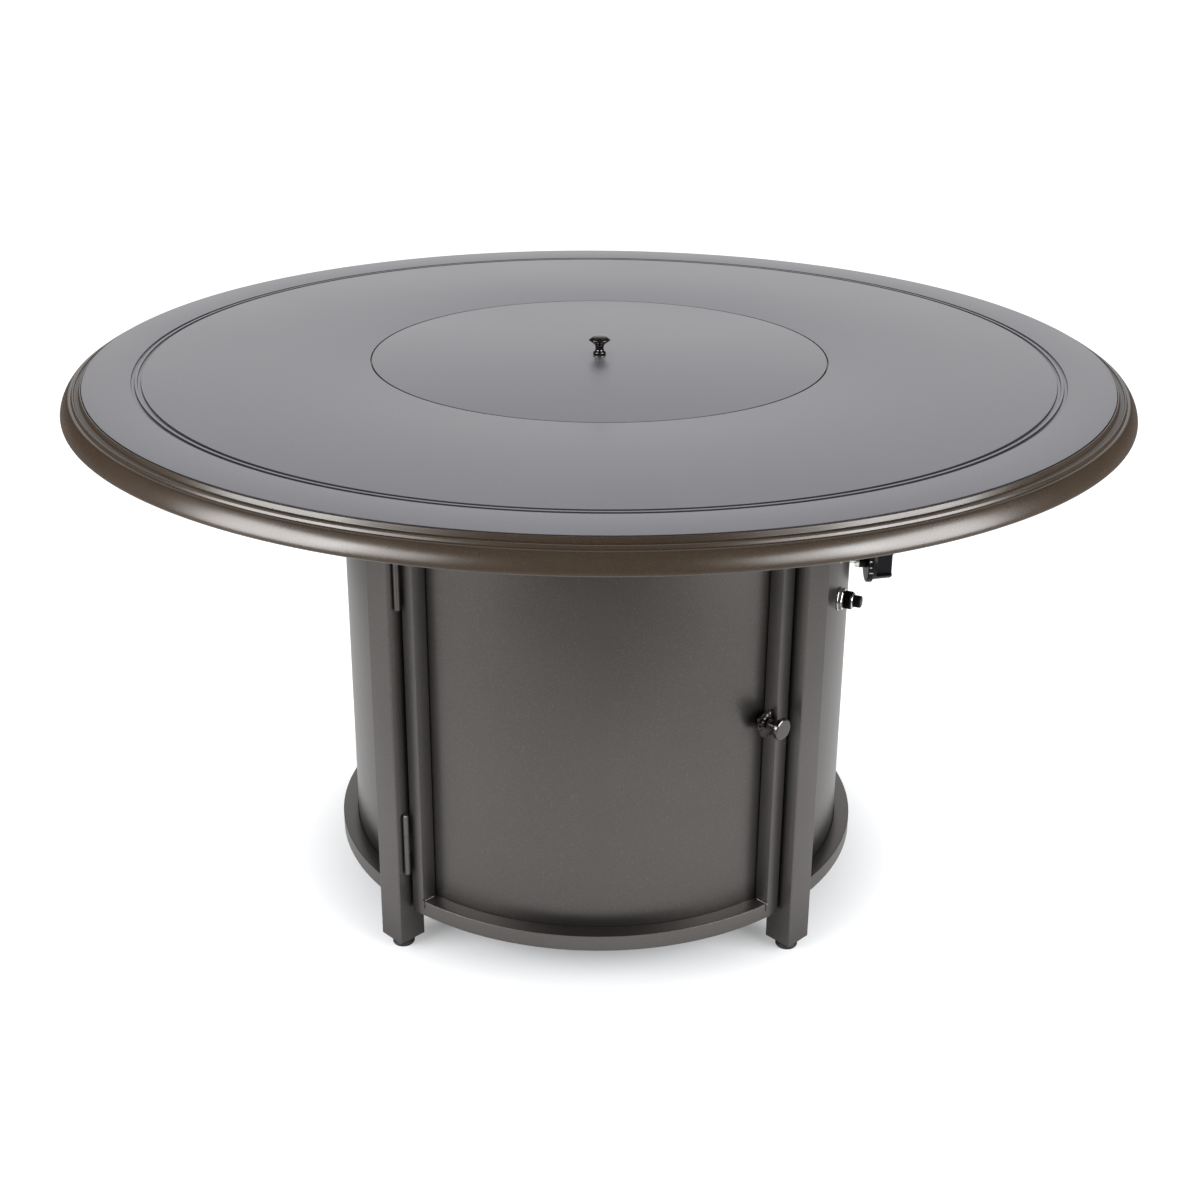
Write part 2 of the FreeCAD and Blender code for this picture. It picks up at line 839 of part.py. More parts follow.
def hinge_leaf(name, centre, aside, knuckles):
    """One leaf with its knuckles, bored for the pin; knuckles are thirds counted from below."""
    low = "%s - hinge_length / 2" % centre
    azimuth = legs["front_left"]
    flat = block(name + "_flat", "leaf_depth", "leaf_thickness", "hinge_length",
                 local(azimuth, stile_outer + " - leaf_depth", aside, low))
    pieces = [flat]
    for third in knuckles:
        bottom = "%s + %d * %s + knuckle_gap / 2" % (low, third, knuckle)
        tall = knuckle + " - knuckle_gap"
        pieces.append(cylinder(name + "_knuckle", "barrel_radius", tall,
                               local(azimuth, axis_out, axis_aside, bottom)))
        pieces.append(block(name + "_tongue", "hinge_out", "leaf_thickness", tall,
                            local(azimuth, stile_outer, aside, bottom)))
    bore = cylinder(name + "_bore", "pin_radius + pin_play", "hinge_length + 2 * knuckle_gap",
                    local(azimuth, axis_out, axis_aside, low + " - knuckle_gap"))
    return cut(name, join(name + "_whole", pieces), bore)


def hinge_pin(name, centre):
    """A plain pin with a head on the top knuckle."""
    azimuth = legs["front_left"]
    top = "%s + hinge_length / 2 - knuckle_gap / 2" % centre
    pin = cylinder(name + "_shank", "pin_radius", "hinge_length",
                   local(azimuth, axis_out, axis_aside, top + " - hinge_length"))
    head = cylinder(name + "_head", "pin_head_radius", "pin_head", local(azimuth, axis_out, axis_aside, top))
    return join(name, [pin, head])


leg_leaf_aside = "leg_width / 2 + weld_gap + leaf_thickness / 2"
door_leaf_aside = stile_near + " - weld_gap - leaf_thickness / 2"
hinges = {"low": "(ring_foot + hinge_rise)", "high": "(%s - hinge_drop)" % door_top}
keep(group("hinge_leg_leaves", [hinge_leaf("leg_leaf_" + name, centre, leg_leaf_aside, (0, 2))
                                for name, centre in hinges.items()]), "hinge_leg_leaves")
keep(group("hinge_door_leaves", [hinge_leaf("door_leaf_" + name, centre, door_leaf_aside, (1,))
                                 for name, centre in hinges.items()]), "hinge_door_leaves")
keep(group("hinge_pins", [hinge_pin("pin_" + name, centre) for name, centre in hinges.items()]), "hinge_pins")

# Latch: a sleeve and rosette on the right stile, and a turn knob whose pawl swings behind the leg's keeper


def on_latch(out):
    """A place on the latch's own line, at a distance out from the table's middle."""
    return local(legs["front_right"], out, "-" + latch_aside, latch_height)


sleeve_outer = "(%s + sleeve_proud)" % stile_outer
sleeve_inner = "(%s + sleeve_proud - sleeve_length)" % stile_outer
rosette_disc = cylinder("rosette_disc", "rosette_radius", "rosette_thickness",
                        on_latch(stile_outer + " - rosette_setback - rosette_thickness"), lying=True)
rosette_room = keep_out("rosette_room", legs["front_right"], "0", "-" + stile_far)
rosette = cut("rosette", rosette_disc, rosette_room)
sleeve = cylinder("latch_sleeve", "sleeve_radius", "sleeve_length", on_latch(sleeve_inner), lying=True)
sleeve_bore = cylinder("latch_bore", "shaft_radius + shaft_play", "3 * sleeve_length",
                       on_latch(sleeve_inner + " - sleeve_length"), lying=True)
keep(cut("latch_bracket", join("latch_bracket_whole", [rosette, sleeve]), sleeve_bore), "latch_bracket")

pawl_face = "(%s - strike_reach - strike_gap)" % leg_inner
shaft_back = "(%s - pawl_thickness - latch_nut)" % pawl_face
hub_inner = "(%s + latch_run_gap)" % sleeve_outer
disc_inner = "(%s + latch_hub)" % hub_inner
keep(join("latch_knob", [
    cylinder("latch_shaft", "shaft_radius", hub_inner + " - " + shaft_back, on_latch(shaft_back), lying=True),
    cylinder("latch_hub", "latch_hub_radius", "latch_hub", on_latch(hub_inner), lying=True),
    cylinder("latch_disc", "latch_disc_radius", "latch_disc", on_latch(disc_inner), lying=True),
]), "latch_knob")

pawl_base = on_latch(pawl_face + " - pawl_thickness")
pawl_bar = block("pawl_bar", "pawl_thickness", "pawl_width", "pawl_length + pawl_back",
                 pawl_base.multiply(Placement(Vector(0, 0, -value("pawl_back")), Rotation())))
pawl_bore = cylinder("pawl_bore", "shaft_radius", "pawl_thickness", pawl_base, lying=True)
keep(cut("latch_pawl", pawl_bar, pawl_bore), "latch_pawl")
nut_blank = cylinder("latch_nut_blank", "latch_nut_radius", "latch_nut", on_latch(shaft_back), lying=True)
nut_bore = cylinder("latch_nut_bore", "shaft_radius", "latch_nut", on_latch(shaft_back), lying=True)
keep(cut("latch_nut", nut_blank, nut_bore), "latch_nut")

strike = new_body("latch_strike")
strike_sketch = new_sketch(strike, "XY_Plane", latch_height + " - strike_height / 2")
keeper = "(%s - strike_reach)" % leg_inner
add_polygon(strike_sketch, [
    (leg_inner, "-strike_length / 2"),
    (leg_inner, "strike_length / 2"),
    (keeper, "strike_length / 2"),
    (keeper, "-strike_length / 2"),
    (keeper + " + strike_sheet", "-strike_length / 2"),
    (keeper + " + strike_sheet", "strike_length / 2 - strike_sheet"),
    (leg_inner + " - strike_sheet", "strike_length / 2 - strike_sheet"),
    (leg_inner + " - strike_sheet", "-strike_length / 2"),
])
add_pad(strike, strike_sketch, "strike_height")
strike.Placement = turned(legs["front_right"])
keep(strike, "latch_strike")

# Tank shelf: a disc with a ring for the tank's foot, on a cross of square tube between the legs


def cross_bar(name, azimuth, inset):
    """One bar of the cross, or the hollow inside it."""
    place = local(azimuth, "-(%s - weld_gap)" % leg_inner, "0", "ring_foot + %s" % inset)
    side = "tube_width - 2 * %s" % inset
    return block(name, "2 * (%s - weld_gap)" % leg_inner, side, side, place)


outer_bars = join("cross_outer", [cross_bar("bar", angle, "0") for angle in (45, 135)])
inner_bars = join("cross_inner", [cross_bar("bar_bore", angle, "tube_wall") for angle in (45, 135)])
keep(cut("shelf_cross", outer_bars, inner_bars), "shelf_cross")
shelf_top = "(%s + shelf_thickness)" % ring_top
shelf_radius = "(%s - shelf_gap)" % panel_inner
shelf = lathe("tank_shelf", [
    ("0", ring_top),
    (shelf_radius, ring_top),
    (shelf_radius, shelf_top),
    ("tank_ring_radius", shelf_top),
    ("tank_ring_radius", shelf_top + " + tank_ring_height"),
    ("tank_ring_radius - tank_ring_wall", shelf_top + " + tank_ring_height"),
    ("tank_ring_radius - tank_ring_wall", shelf_top),
    ("0", shelf_top),
])
keep(shelf, "tank_shelf")

# Burner pan: a deep-drawn bowl that hangs by its flange on the lower step of the lid seat

pan_flange_radius = "(%s + seat_wall - pan_flange_gap)" % seat_inner
pan = lathe("burner_pan", [
    ("pan_hole_radius", pan_floor),
    (pan_radius, pan_floor),
    (pan_radius, pan_seat_top),
    (pan_flange_radius, pan_seat_top),
    (pan_flange_radius, pan_seat_top + " + pan_wall"),
    (pan_radius + " - pan_wall", pan_seat_top + " + pan_wall"),
    (pan_radius + " - pan_wall", pan_floor + " + pan_wall"),
    ("pan_hole_radius", pan_floor + " + pan_wall"),
])
electrode_hole = cylinder("electrode_hole", "electrode_radius + electrode_play", "2 * drill_reach",
                          local(-value("igniter_angle"), electrode_circle, "0", pan_floor + " - drill_reach"))
keep(cut("burner_pan_drilled", pan, electrode_hole), "burner_pan")

# Burner: a ring of steel tube with gas ports, four spokes and a hub with a nipple through the pan

burner_height = "(%s + pan_wall + burner_lift)" % pan_floor
ring_tube = new_body("burner_tube")
tube_sketch = new_sketch(ring_tube, "XZ_Plane")
add_circle(tube_sketch, "burner_radius", burner_height, "burner_tube_radius")
add_circle(tube_sketch, "burner_radius", burner_height, "burner_tube_radius - burner_tube_wall")
add_turning(ring_tube, tube_sketch)
port_sketch = new_sketch(ring_tube, "XY_Plane", burner_height)
add_circle(port_sketch, "burner_radius", "0", "port_radius")
port = add_pocket(ring_tube, port_sketch, "2 * burner_tube_radius", reverse=True)
ports = ring_tube.newObject("PartDesign::PolarPattern", "burner_port_pattern")
ports.Originals = [port]
ports.Axis = ([item for item in ring_tube.Origin.OriginFeatures if item.Role == "Z_Axis"][0], [""])
ports.Angle = 360
ports.setExpression("Occurrences", bound("burner_ports"))
ring_tube.Tip = ports
doc.recompute()
hub_low = "(%s + pan_wall)" % pan_floor
burner_parts = [
    ring_tube,
    cylinder("burner_boss", "hub_radius", "burner_lift + burner_tube_radius", local(0, "0", "0", hub_low)),
    cylinder("burner_nipple", "nipple_radius", "pan_wall + nipple_drop + burner_lift",
             local(0, "0", "0", pan_floor + " - nipple_drop")),
]
for index in range(4):
    burner_parts.append(cylinder("burner_spoke", "spoke_radius",
                                 "burner_radius - burner_tube_radius + spoke_weld",
                                 local(45 + 90 * index, "0", "0", burner_height), lying=True))
keep(join("burner_ring", burner_parts), "burner_ring")

# Heat shield: a disc on four posts under the pan, which keeps the burner's heat off the tank

shield_radius = "(%s - shield_inset)" % pan_radius
shield_parts = [lathe("shield_disc", [
    ("0", shield_top + " - shield_thickness"),
    (shield_radius, shield_top + " - shield_thickness"),
    (shield_radius, shield_top),
    ("0", shield_top),
])]
for index in range(4):
    post_at = local(45 + 90 * index, shield_radius + " - shield_post_inset", "0", shield_top)
    shield_parts.append(cylinder("shield_post", "shield_post_radius", "shield_drop - weld_gap", post_at))
keep(join("heat_shield", shield_parts), "heat_shield")

# Air mixer: a block under the burner's nipple with a side tube that draws air in with the gas

mixer_height = "(%s - nipple_drop - mixer_block / 2)" % pan_floor
mixer_parts = [
    block("mixer_block_body", "mixer_block", "mixer_block", "mixer_block",
          local(0, "-mixer_block / 2", "0", mixer_height + " - mixer_block / 2")),
    cylinder("mixer_tube", "mixer_tube_radius", "mixer_length", local(0, "0", "0", mixer_height), lying=True),
]
mixer_window = block("mixer_window", "mixer_window_length", "mixer_window_width", "4 * mixer_tube_radius",
                     local(0, "(mixer_length - mixer_window_length + mixer_block) / 2", "0",
                           mixer_height + " - 2 * mixer_tube_radius"))
mixer_hollow = cylinder("mixer_hollow", "mixer_bore", "mixer_length - mixer_block - mixer_cap",
                        local(0, "mixer_block", "0", mixer_height), lying=True)
mixer_cut = group("mixer_openings", [mixer_window, mixer_hollow])
keep(cut("air_mixer", join("mixer_whole", mixer_parts), mixer_cut), "air_mixer")

# Gas valve: a body behind the right panel with its spindle out through the panel to the control knob

valve_back = "(%s - bracket_sheet - valve_seat_gap - valve_depth)" % panel_inner
valve_low = "(%s - valve_height / 2)" % control_height
spindle_back = "(%s + valve_depth / 2)" % valve_back
valve_body = block("valve_block", "valve_depth", "valve_width", "valve_height",
                   local(0, valve_back, "0", valve_low))
valve_bore = cylinder("valve_bore", "spindle_radius + spindle_play", "valve_depth",
                      local(0, spindle_back + " - spindle_end_gap", "0", control_height), lying=True)
keep(cut("gas_valve", valve_body, valve_bore), "gas_valve")

collar_inner = "(%s + spindle_out)" % panel_outer
knob_inner = "(%s + spindle_out + collar_length)" % panel_outer
spindle_parts = [
    cylinder("spindle_rod", "spindle_radius", knob_inner + " + knob_hub - " + spindle_back,
             local(0, spindle_back, "0", control_height), lying=True),
    cylinder("spindle_collar", "collar_radius", "collar_length",
             local(0, collar_inner, "0", control_height), lying=True),
]
keep(join("valve_spindle", spindle_parts), "valve_spindle")

# Control knob: a black moulded knob with a round skirt and a grip bar

skirt_inner = "(%s + knob_hub)" % knob_inner
body_inner = "(%s + knob_hub + knob_skirt)" % knob_inner
knob_body = doc.addObject("Part::Cone", "knob_body_cone")
knob_body.setExpression("Radius1", bound("knob_body_radius"))
knob_body.setExpression("Radius2", bound("knob_nose_radius"))
knob_body.setExpression("Height", bound("knob_body"))
knob_body.Placement = local(0, body_inner, "0", control_height).multiply(
    Placement(Vector(0, 0, 0), Rotation(Vector(0, 1, 0), 90)))
knob_parts = [
    cylinder("knob_hub_part", "knob_hub_radius", "knob_hub", local(0, knob_inner, "0", control_height),
             lying=True),
    cylinder("knob_skirt_part", "knob_skirt_radius", "knob_skirt",
             local(0, skirt_inner, "0", control_height), lying=True),
    knob_body,
]
cheeks = []
for hand in (-1, 1):
    cheek_at = local(0, body_inner + " + knob_flat", "%d * (knob_cheek + knob_body_radius / 2)" % hand,
                     control_height + " - knob_skirt_radius")
    cheeks.append(block("knob_cheek_cut", "knob_body", "knob_body_radius", "2 * knob_skirt_radius", cheek_at))
knob_socket = cylinder("knob_socket", "spindle_radius", "knob_hub",
                       local(0, knob_inner, "0", control_height), lying=True)
knob_cut = group("knob_cuts", [*cheeks, knob_socket])
keep(cut("control_knob", join("knob_whole", knob_parts), knob_cut), "control_knob")

# Control bracket: a strip along the panel's inside with a tab that carries the valve

strip_high = "(%s + bracket_strip_width)" % strip_low
bracket_inner = "(%s - bracket_sheet)" % panel_inner
strip = sheet_arc("bracket_strip", strip_low, strip_high, "2 * bracket_strip_angle", 0,
                  panel_inner, bracket_inner)
tab = sheet_arc("bracket_tab", valve_low, strip_high, "2 * bracket_tab_angle", 0,
                panel_inner, bracket_inner)
keep(cut("valve_bracket", join("bracket_whole", [strip, tab]), control_hole_group), "valve_bracket")


def bracket_screw(name, angle):
    """A pan-head screw through the panel into the bracket."""
    head = cylinder(name + "_head", "screw_head_radius", "screw_head",
                    local(angle, panel_outer, "0", screw_height), lying=True)
    shank = cylinder(name + "_shank", "screw_radius", "screw_length + screw_tip",
                     local(angle, panel_outer + " - screw_length", "0", screw_height), lying=True)
    return join(name, [head, shank])


keep(group("bracket_screws", [bracket_screw("screw_front", -value("screw_angle")),
                              bracket_screw("screw_rear", value("screw_angle"))]), "bracket_screws")

# Inlet: a flare fitting under the valve, where the tank's hose would screw on

valve_middle = "(%s + valve_depth / 2)" % valve_back
inlet_low = "(%s - inlet_drop)" % valve_low
inlet_hex = doc.addObject("Part::Prism", "inlet_hex")
inlet_hex.Polygon = 6
inlet_hex.setExpression("Circumradius", bound("inlet_hex_radius"))
inlet_hex.setExpression("Height", bound("inlet_hex_length"))
inlet_hex.Placement = local(0, valve_middle, "0", inlet_low + " + inlet_thread")
inlet_parts = [
    cylinder("inlet_stub", "inlet_radius", "inlet_drop", local(0, valve_middle, "0", inlet_low)),
    inlet_hex,
]
inlet_bore_tool = cylinder("inlet_bore_tool", "inlet_bore", "inlet_drop",
                           local(0, valve_middle, "0", inlet_low + " - inlet_bore"))
keep(cut("inlet_fitting", join("inlet_whole", inlet_parts), inlet_bore_tool), "inlet_fitting")


def bent_tube(name, points, radius, bends):
    """A tube along straight runs joined by tangent arcs, one bend radius for each inner point."""
    edges = []
    start = points[0]
    for index in range(1, len(points) - 1):
        back = (points[index - 1] - points[index]).normalize()
        ahead = (points[index + 1] - points[index]).normalize()
        half = (math.pi - back.getAngle(ahead)) / 2
        reach = bends[index - 1] * math.tan(half)
        first = points[index] + back * reach
        last = points[index] + ahead * reach
        middle = points[index] + (back + ahead).normalize() * (bends[index - 1] * (1 / math.cos(half) - 1))
        edges.append(Part.LineSegment(start, first).toShape())
        edges.append(Part.Arc(first, middle, last).toShape())
        start = last
    edges.append(Part.LineSegment(start, points[-1]).toShape())
    length = sum(edge.Length for edge in edges)
    path = Part.Wire(edges)
    section = Part.Wire([Part.Circle(points[0], points[1] - points[0], radius).toShape()])
    tube = path.makePipeShell([section], True, True)
    expected = math.pi * radius ** 2 * length
    if abs(tube.Volume / expected - 1) > 0.01:
        raise RuntimeError(name + " has the wrong volume")
    print("%s: length %.0f, bends %s" % (name, length, bends))
    return tube


# Gas tube: bent tube from the valve's top up to the mixer, outside the tank's space

valve_top = "(%s + valve_height / 2)" % control_height
tube_corner = [
    Vector(value(valve_middle), 0, value(valve_top)),
    Vector(value(valve_middle), 0, value(mixer_height)),
    Vector(value("mixer_length"), 0, value(mixer_height)),
]
gas_tube = doc.addObject("Part::Feature", "gas_tube")
gas_tube.Shape = bent_tube("gas tube", tube_corner, value("gas_tube_radius"), [value("gas_bend_radius")])
keep(gas_tube, "gas_tube")

# Igniter: a push button in a threaded barrel, held to the panel by a bright nut


def on_igniter(out):
    """A place on the igniter's own line."""
    return local(-value("igniter_angle"), out, "0", control_height)


nut_outer = "(%s + igniter_nut)" % panel_outer
barrel_outer = "(%s + igniter_nut + igniter_barrel)" % panel_outer
igniter_back = "(%s - igniter_depth)" % panel_outer
igniter_whole = join("igniter_whole", [
    cylinder("igniter_thread", "igniter_thread_radius", "igniter_depth + igniter_nut + igniter_barrel / 2",
             on_igniter(igniter_back), lying=True),
    cylinder("igniter_barrel_part", "igniter_barrel_radius", "igniter_barrel", on_igniter(nut_outer),
             lying=True),
    cylinder("igniter_flange_part", "igniter_flange_radius", "igniter_flange",
             on_igniter(panel_inner + " - igniter_flange_gap - igniter_flange"), lying=True),
])
button_inner = "(%s - button_sunk)" % barrel_outer
button_well = cylinder("button_well", "button_radius + button_play", "button_sunk + 2 * button_travel",
                       on_igniter(button_inner + " - button_travel - button_end_gap"), lying=True)
keep(cut("igniter_body", igniter_whole, button_well), "igniter_body")
button = cylinder("igniter_button", "button_radius", "button_sunk + button_out", on_igniter(button_inner),
                  lying=True)
keep(button, "igniter_button")
igniter_nut = cut("igniter_nut",
                  cylinder("igniter_nut_blank", "igniter_nut_radius", "igniter_nut - 2 * igniter_nut_gap",
                           on_igniter(panel_outer + " + igniter_nut_gap"), lying=True),
                  cylinder("igniter_nut_bore", "igniter_thread_radius + igniter_nut_gap", "igniter_nut",
                           on_igniter(panel_outer), lying=True))
keep(igniter_nut, "igniter_nut")

# Electrode: a ceramic rod with a steel tip, up through the pan beside the burner ring

electrode_low = "(%s - electrode_tail)" % pan_floor
electrode_parts = [
    cylinder("electrode_rod", "electrode_radius", "electrode_rise + electrode_tail",
             local(-value("igniter_angle"), electrode_circle, "0", electrode_low)),
    cylinder("electrode_tip_part", "electrode_tip_radius", "2 * electrode_tip",
             local(-value("igniter_angle"), electrode_circle, "0",
                   pan_floor + " + electrode_rise - electrode_tip")),
]
keep(join("igniter_electrode", electrode_parts), "igniter_electrode")

# Igniter lead: insulated wire from the igniter, clipped up the panel, over the shield to the electrode


def lead_point(out, height):
    """A point of the lead's route in the igniter's own upright plane."""
    return on_igniter(out).Base + Vector(0, 0, value(height) - value(control_height))


lead_wall = "(%s - lead_radius - lead_wall_gap)" % panel_inner
lead_over = "(%s - lead_over_drop)" % pan_floor
lead_route = [
    lead_point(igniter_back, control_height),
    lead_point(igniter_back + " - lead_back", control_height),
    lead_point(igniter_back + " - lead_back", control_height + " + lead_rise"),
    lead_point(lead_wall, control_height + " + lead_rise + lead_slant"),
    lead_point(lead_wall, lead_over),
    lead_point(electrode_circle, lead_over),
    lead_point(electrode_circle, electrode_low),
]
lead_bends = [26, 40, 40, 30, 11]
lead = doc.addObject("Part::Feature", "igniter_lead")
lead.Shape = bent_tube("igniter lead", lead_route, value("lead_radius"), lead_bends)
keep(lead, "igniter_lead")

# Lead clip: a saddle on the panel's inside that holds the lead's upright run

clip_height = "(%s - clip_drop)" % lead_over
clip_block = block("clip_block", "lead_wall_gap + 2 * lead_radius + clip_wall - weld_gap", "clip_width",
                   "clip_length",
                   local(-value("igniter_angle"), lead_wall + " - lead_radius - clip_wall", "0",
                         clip_height))
clip_bore = cylinder("clip_bore", "lead_radius + weld_gap", "2 * clip_length",
                     local(-value("igniter_angle"), lead_wall, "0", clip_height + " - clip_length / 2"))
keep(cut("lead_clip", clip_block, clip_bore), "lead_clip")

# Arm bolts: one through each arm into the hoop below it


def arm_bolt(azimuth):
    """A bolt with its head on the arm's floor, down through the hoop's top wall."""
    head = cylinder("bolt_head", "bolt_head_radius", "bolt_head",
                    local(azimuth, bolt_out, "0", arm_under + " + arm_wall"))
    shank = cylinder("bolt_shank", "bolt_radius", "arm_wall + tube_wall + bolt_end + bolt_head / 2",
                     local(azimuth, bolt_out, "0", bolt_low))
    return join("arm_bolt", [head, shank])


keep(group("arm_bolts", [arm_bolt(azimuth) for azimuth in legs.values()]), "arm_bolts")

# Checks, then one file for each node

doc.recompute()
for item in doc.Objects:
    if "Invalid" in item.State or "Error" in item.State:
        raise RuntimeError("%s: %s" % (item.Label, item.State))
for label, item in nodes:
    shape = item.Shape
    if shape.isNull() or not shape.isValid() or not shape.Solids:
        raise RuntimeError(label + ": no valid solid")
    print("%-26s solids %d  volume %10.0f" % (label, len(shape.Solids), shape.Volume))
    shape.exportStep(os.path.join("parts", label + ".step"))
print("nodes", len(nodes))
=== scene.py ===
from math import asin, cos, copysign, degrees, pi, radians, sin, tan

import bmesh
import bpy
from mathutils import Matrix, Vector


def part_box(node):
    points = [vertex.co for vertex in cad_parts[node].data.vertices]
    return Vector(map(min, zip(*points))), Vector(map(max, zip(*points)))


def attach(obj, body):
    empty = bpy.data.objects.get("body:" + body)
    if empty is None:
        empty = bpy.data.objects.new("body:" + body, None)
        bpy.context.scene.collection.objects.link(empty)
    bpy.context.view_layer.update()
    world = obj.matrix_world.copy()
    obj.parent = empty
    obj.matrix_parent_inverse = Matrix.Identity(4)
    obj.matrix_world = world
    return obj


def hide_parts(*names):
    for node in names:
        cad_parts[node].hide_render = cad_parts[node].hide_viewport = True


# A round metal gas fire pit table, dressed over its own construction.
# Sizes are in millimetres, and each mesh is made in metres where the construction has the piece.

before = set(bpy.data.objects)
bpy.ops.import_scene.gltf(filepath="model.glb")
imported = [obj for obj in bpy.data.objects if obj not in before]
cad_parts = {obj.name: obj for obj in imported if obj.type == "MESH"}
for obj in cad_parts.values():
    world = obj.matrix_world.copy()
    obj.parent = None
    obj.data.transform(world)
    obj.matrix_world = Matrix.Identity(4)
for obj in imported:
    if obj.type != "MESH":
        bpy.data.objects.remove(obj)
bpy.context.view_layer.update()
mm = 0.001

# The photograph's camera
# It stands in front of the door, above the table, and looks down at it. Its place and lens come from
# the ellipses of the top and the corners of the legs.

photo_width = 1200
focal_pixels = 1699.9
camera_height = 1186.7
camera_back = 1935.7
camera_aside = 1.6
camera_pitch = 21.771
camera_roll = 0.44
camera_shift_across = 0.0005
camera_shift_up = -0.0423

camera_data = bpy.data.cameras.new("photo_camera")
camera_data.sensor_width = 36
camera_data.lens = focal_pixels / photo_width * camera_data.sensor_width
camera_data.shift_x = camera_shift_across
camera_data.shift_y = camera_shift_up
camera = bpy.data.objects.new("photo_camera", camera_data)
camera.matrix_world = (Matrix.Translation(Vector((camera_aside, -camera_back, camera_height)) * mm)
                       @ Matrix.Rotation(radians(90 - camera_pitch), 4, "X")
                       @ Matrix.Rotation(radians(camera_roll), 4, "Z"))
bpy.context.scene.collection.objects.link(camera)
bpy.context.scene.camera = camera
bpy.context.scene.view_settings.view_transform = "Standard"

# The studio
# A white paper sweep with soft boxes at both sides and one overhead. The paper shows white to the camera
# and in the metal, and keeps the table's soft shadow, cast by the lamps and deepened by a painted shadow
# below the table. The side boxes are flagged off the flat top.


def node(tree, kind, links=None, **settings):
    """Add one shader node, with its settings, its socket values and the links into it."""
    made = tree.nodes.new("ShaderNode" + kind)
    for name, setting in settings.items():
        setattr(made, name, setting)
    for socket, given in (links or {}).items():
        if isinstance(given, bpy.types.NodeSocket):
            tree.links.new(given, made.inputs[socket])
        else:
            made.inputs[socket].default_value = given
    return made


def colour(code):
    """A linear colour from an sRGB hex code."""
    parts = [int(code[i:i + 2], 16) / 255 for i in (1, 3, 5)]
    return [p / 12.92 if p <= 0.04045 else ((p + 0.055) / 1.055) ** 2.4 for p in parts] + [1.0]


def new_tree(owner):
    """The empty node tree of a material or a world."""
    owner.use_nodes = True
    owner.node_tree.nodes.clear()
    return owner.node_tree


def ray(tree, *kinds):
    """One where the ray is of any of these kinds."""
    path = node(tree, "LightPath")
    found = path.outputs["Is %s Ray" % kinds[0]]
    for kind in kinds[1:]:
        found = node(tree, "Math", {0: found, 1: path.outputs["Is %s Ray" % kind]},
                     operation="MAXIMUM").outputs[0]
    return found


def studio(tree, white):
    """The white sweep, and the dim warm room beyond it, above it and on the camera's side."""
    return node(tree, "Mix", {"Factor": white, "A": colour("#61534a"), "B": (1, 1, 1, 1)},
                data_type="RGBA").outputs["Result"]


# In the metal, the sweep fills the directions behind the table that don't lie far aside.
screen_depth = (0.1, 0.75)
screen_aside = (0.5, 0.34)

world = bpy.data.worlds.new("studio_air")
bpy.context.scene.world = world
tree = new_tree(world)
way = node(tree, "SeparateXYZ", {"Vector": node(tree, "TexCoord").outputs["Generated"]})
depth = node(tree, "MapRange", {"Value": way.outputs["Y"], "From Min": screen_depth[0],
                                "From Max": screen_depth[1]})
aside = node(tree, "Math", {0: way.outputs["X"]}, operation="ABSOLUTE")
width = node(tree, "MapRange", {"Value": aside.outputs[0], "From Min": screen_aside[0],
                                "From Max": screen_aside[1]})
screen = node(tree, "Math", {0: depth.outputs[0], 1: width.outputs[0]}, operation="MULTIPLY")
room = node(tree, "Background", {"Color": studio(tree, screen.outputs[0]), "Strength": 1.0})
fill = node(tree, "Background", {"Color": colour("#f4f6fa"), "Strength": 0.45})
mirrored = node(tree, "MixShader", {0: ray(tree, "Glossy"), 1: fill.outputs[0], 2: room.outputs[0]})
white = node(tree, "Background", {"Color": (1, 1, 1, 1)})
air = node(tree, "MixShader", {0: ray(tree, "Camera", "Transmission"), 1: mirrored.outputs[0],
                               2: white.outputs[0]})
node(tree, "OutputWorld", {"Surface": air.outputs[0]})

# Distances on the paper are from the table's middle. The white sweep that the metal mirrors is centred a
# little behind it, and fades out between its two edges. Over each reach, the paper's glow rises by the
# strengths beside it: a painted shadow, dark below the table and bright in the open.
floor_size = 60000
sweep_middle = 220
sweep_edge = (1600, 950)
mirrored_shadow_reach, mirrored_shadow_glow = (290, 420), (0.1, 0.78)
shadow_reach, shadow_glow = (235, 460), (0.08, 0.84)

floor_mesh = bpy.data.meshes.new("studio_floor")
half = floor_size / 2 * mm
floor_mesh.from_pydata([(-half, -half, 0), (half, -half, 0), (half, half, 0), (-half, half, 0)], [],
                       [(0, 1, 2, 3)])
floor = bpy.data.objects.new("studio_floor", floor_mesh)
bpy.context.scene.collection.objects.link(floor)
floor_paper = bpy.data.materials.new("white_paper")
tree = new_tree(floor_paper)
where = node(tree, "TexCoord").outputs["Object"]
away = node(tree, "VectorMath", {0: where}, operation="LENGTH").outputs["Value"]
ahead = node(tree, "VectorMath", {0: where, 1: (0, sweep_middle * mm, 0)},
             operation="DISTANCE").outputs["Value"]
sweep = node(tree, "MapRange", {"Value": ahead, "From Min": sweep_edge[0] * mm,
                                "From Max": sweep_edge[1] * mm})
# In the metal, the paper glows less below the table: a painted shadow.
mirrored_painted_shadow = node(tree, "MapRange", {"Value": away,
                                "From Min": mirrored_shadow_reach[0] * mm, "From Max": mirrored_shadow_reach[1] * mm,
                                "To Min": mirrored_shadow_glow[0], "To Max": mirrored_shadow_glow[1]})
painted_shadow_gleam = node(tree, "Emission", {"Color": studio(tree, sweep.outputs[0]), "Strength": mirrored_painted_shadow.outputs[0]})
lit = node(tree, "BsdfDiffuse", {"Color": colour("#8c8c8c")})
mirrored = node(tree, "AddShader", {0: painted_shadow_gleam.outputs[0], 1: lit.outputs[0]})
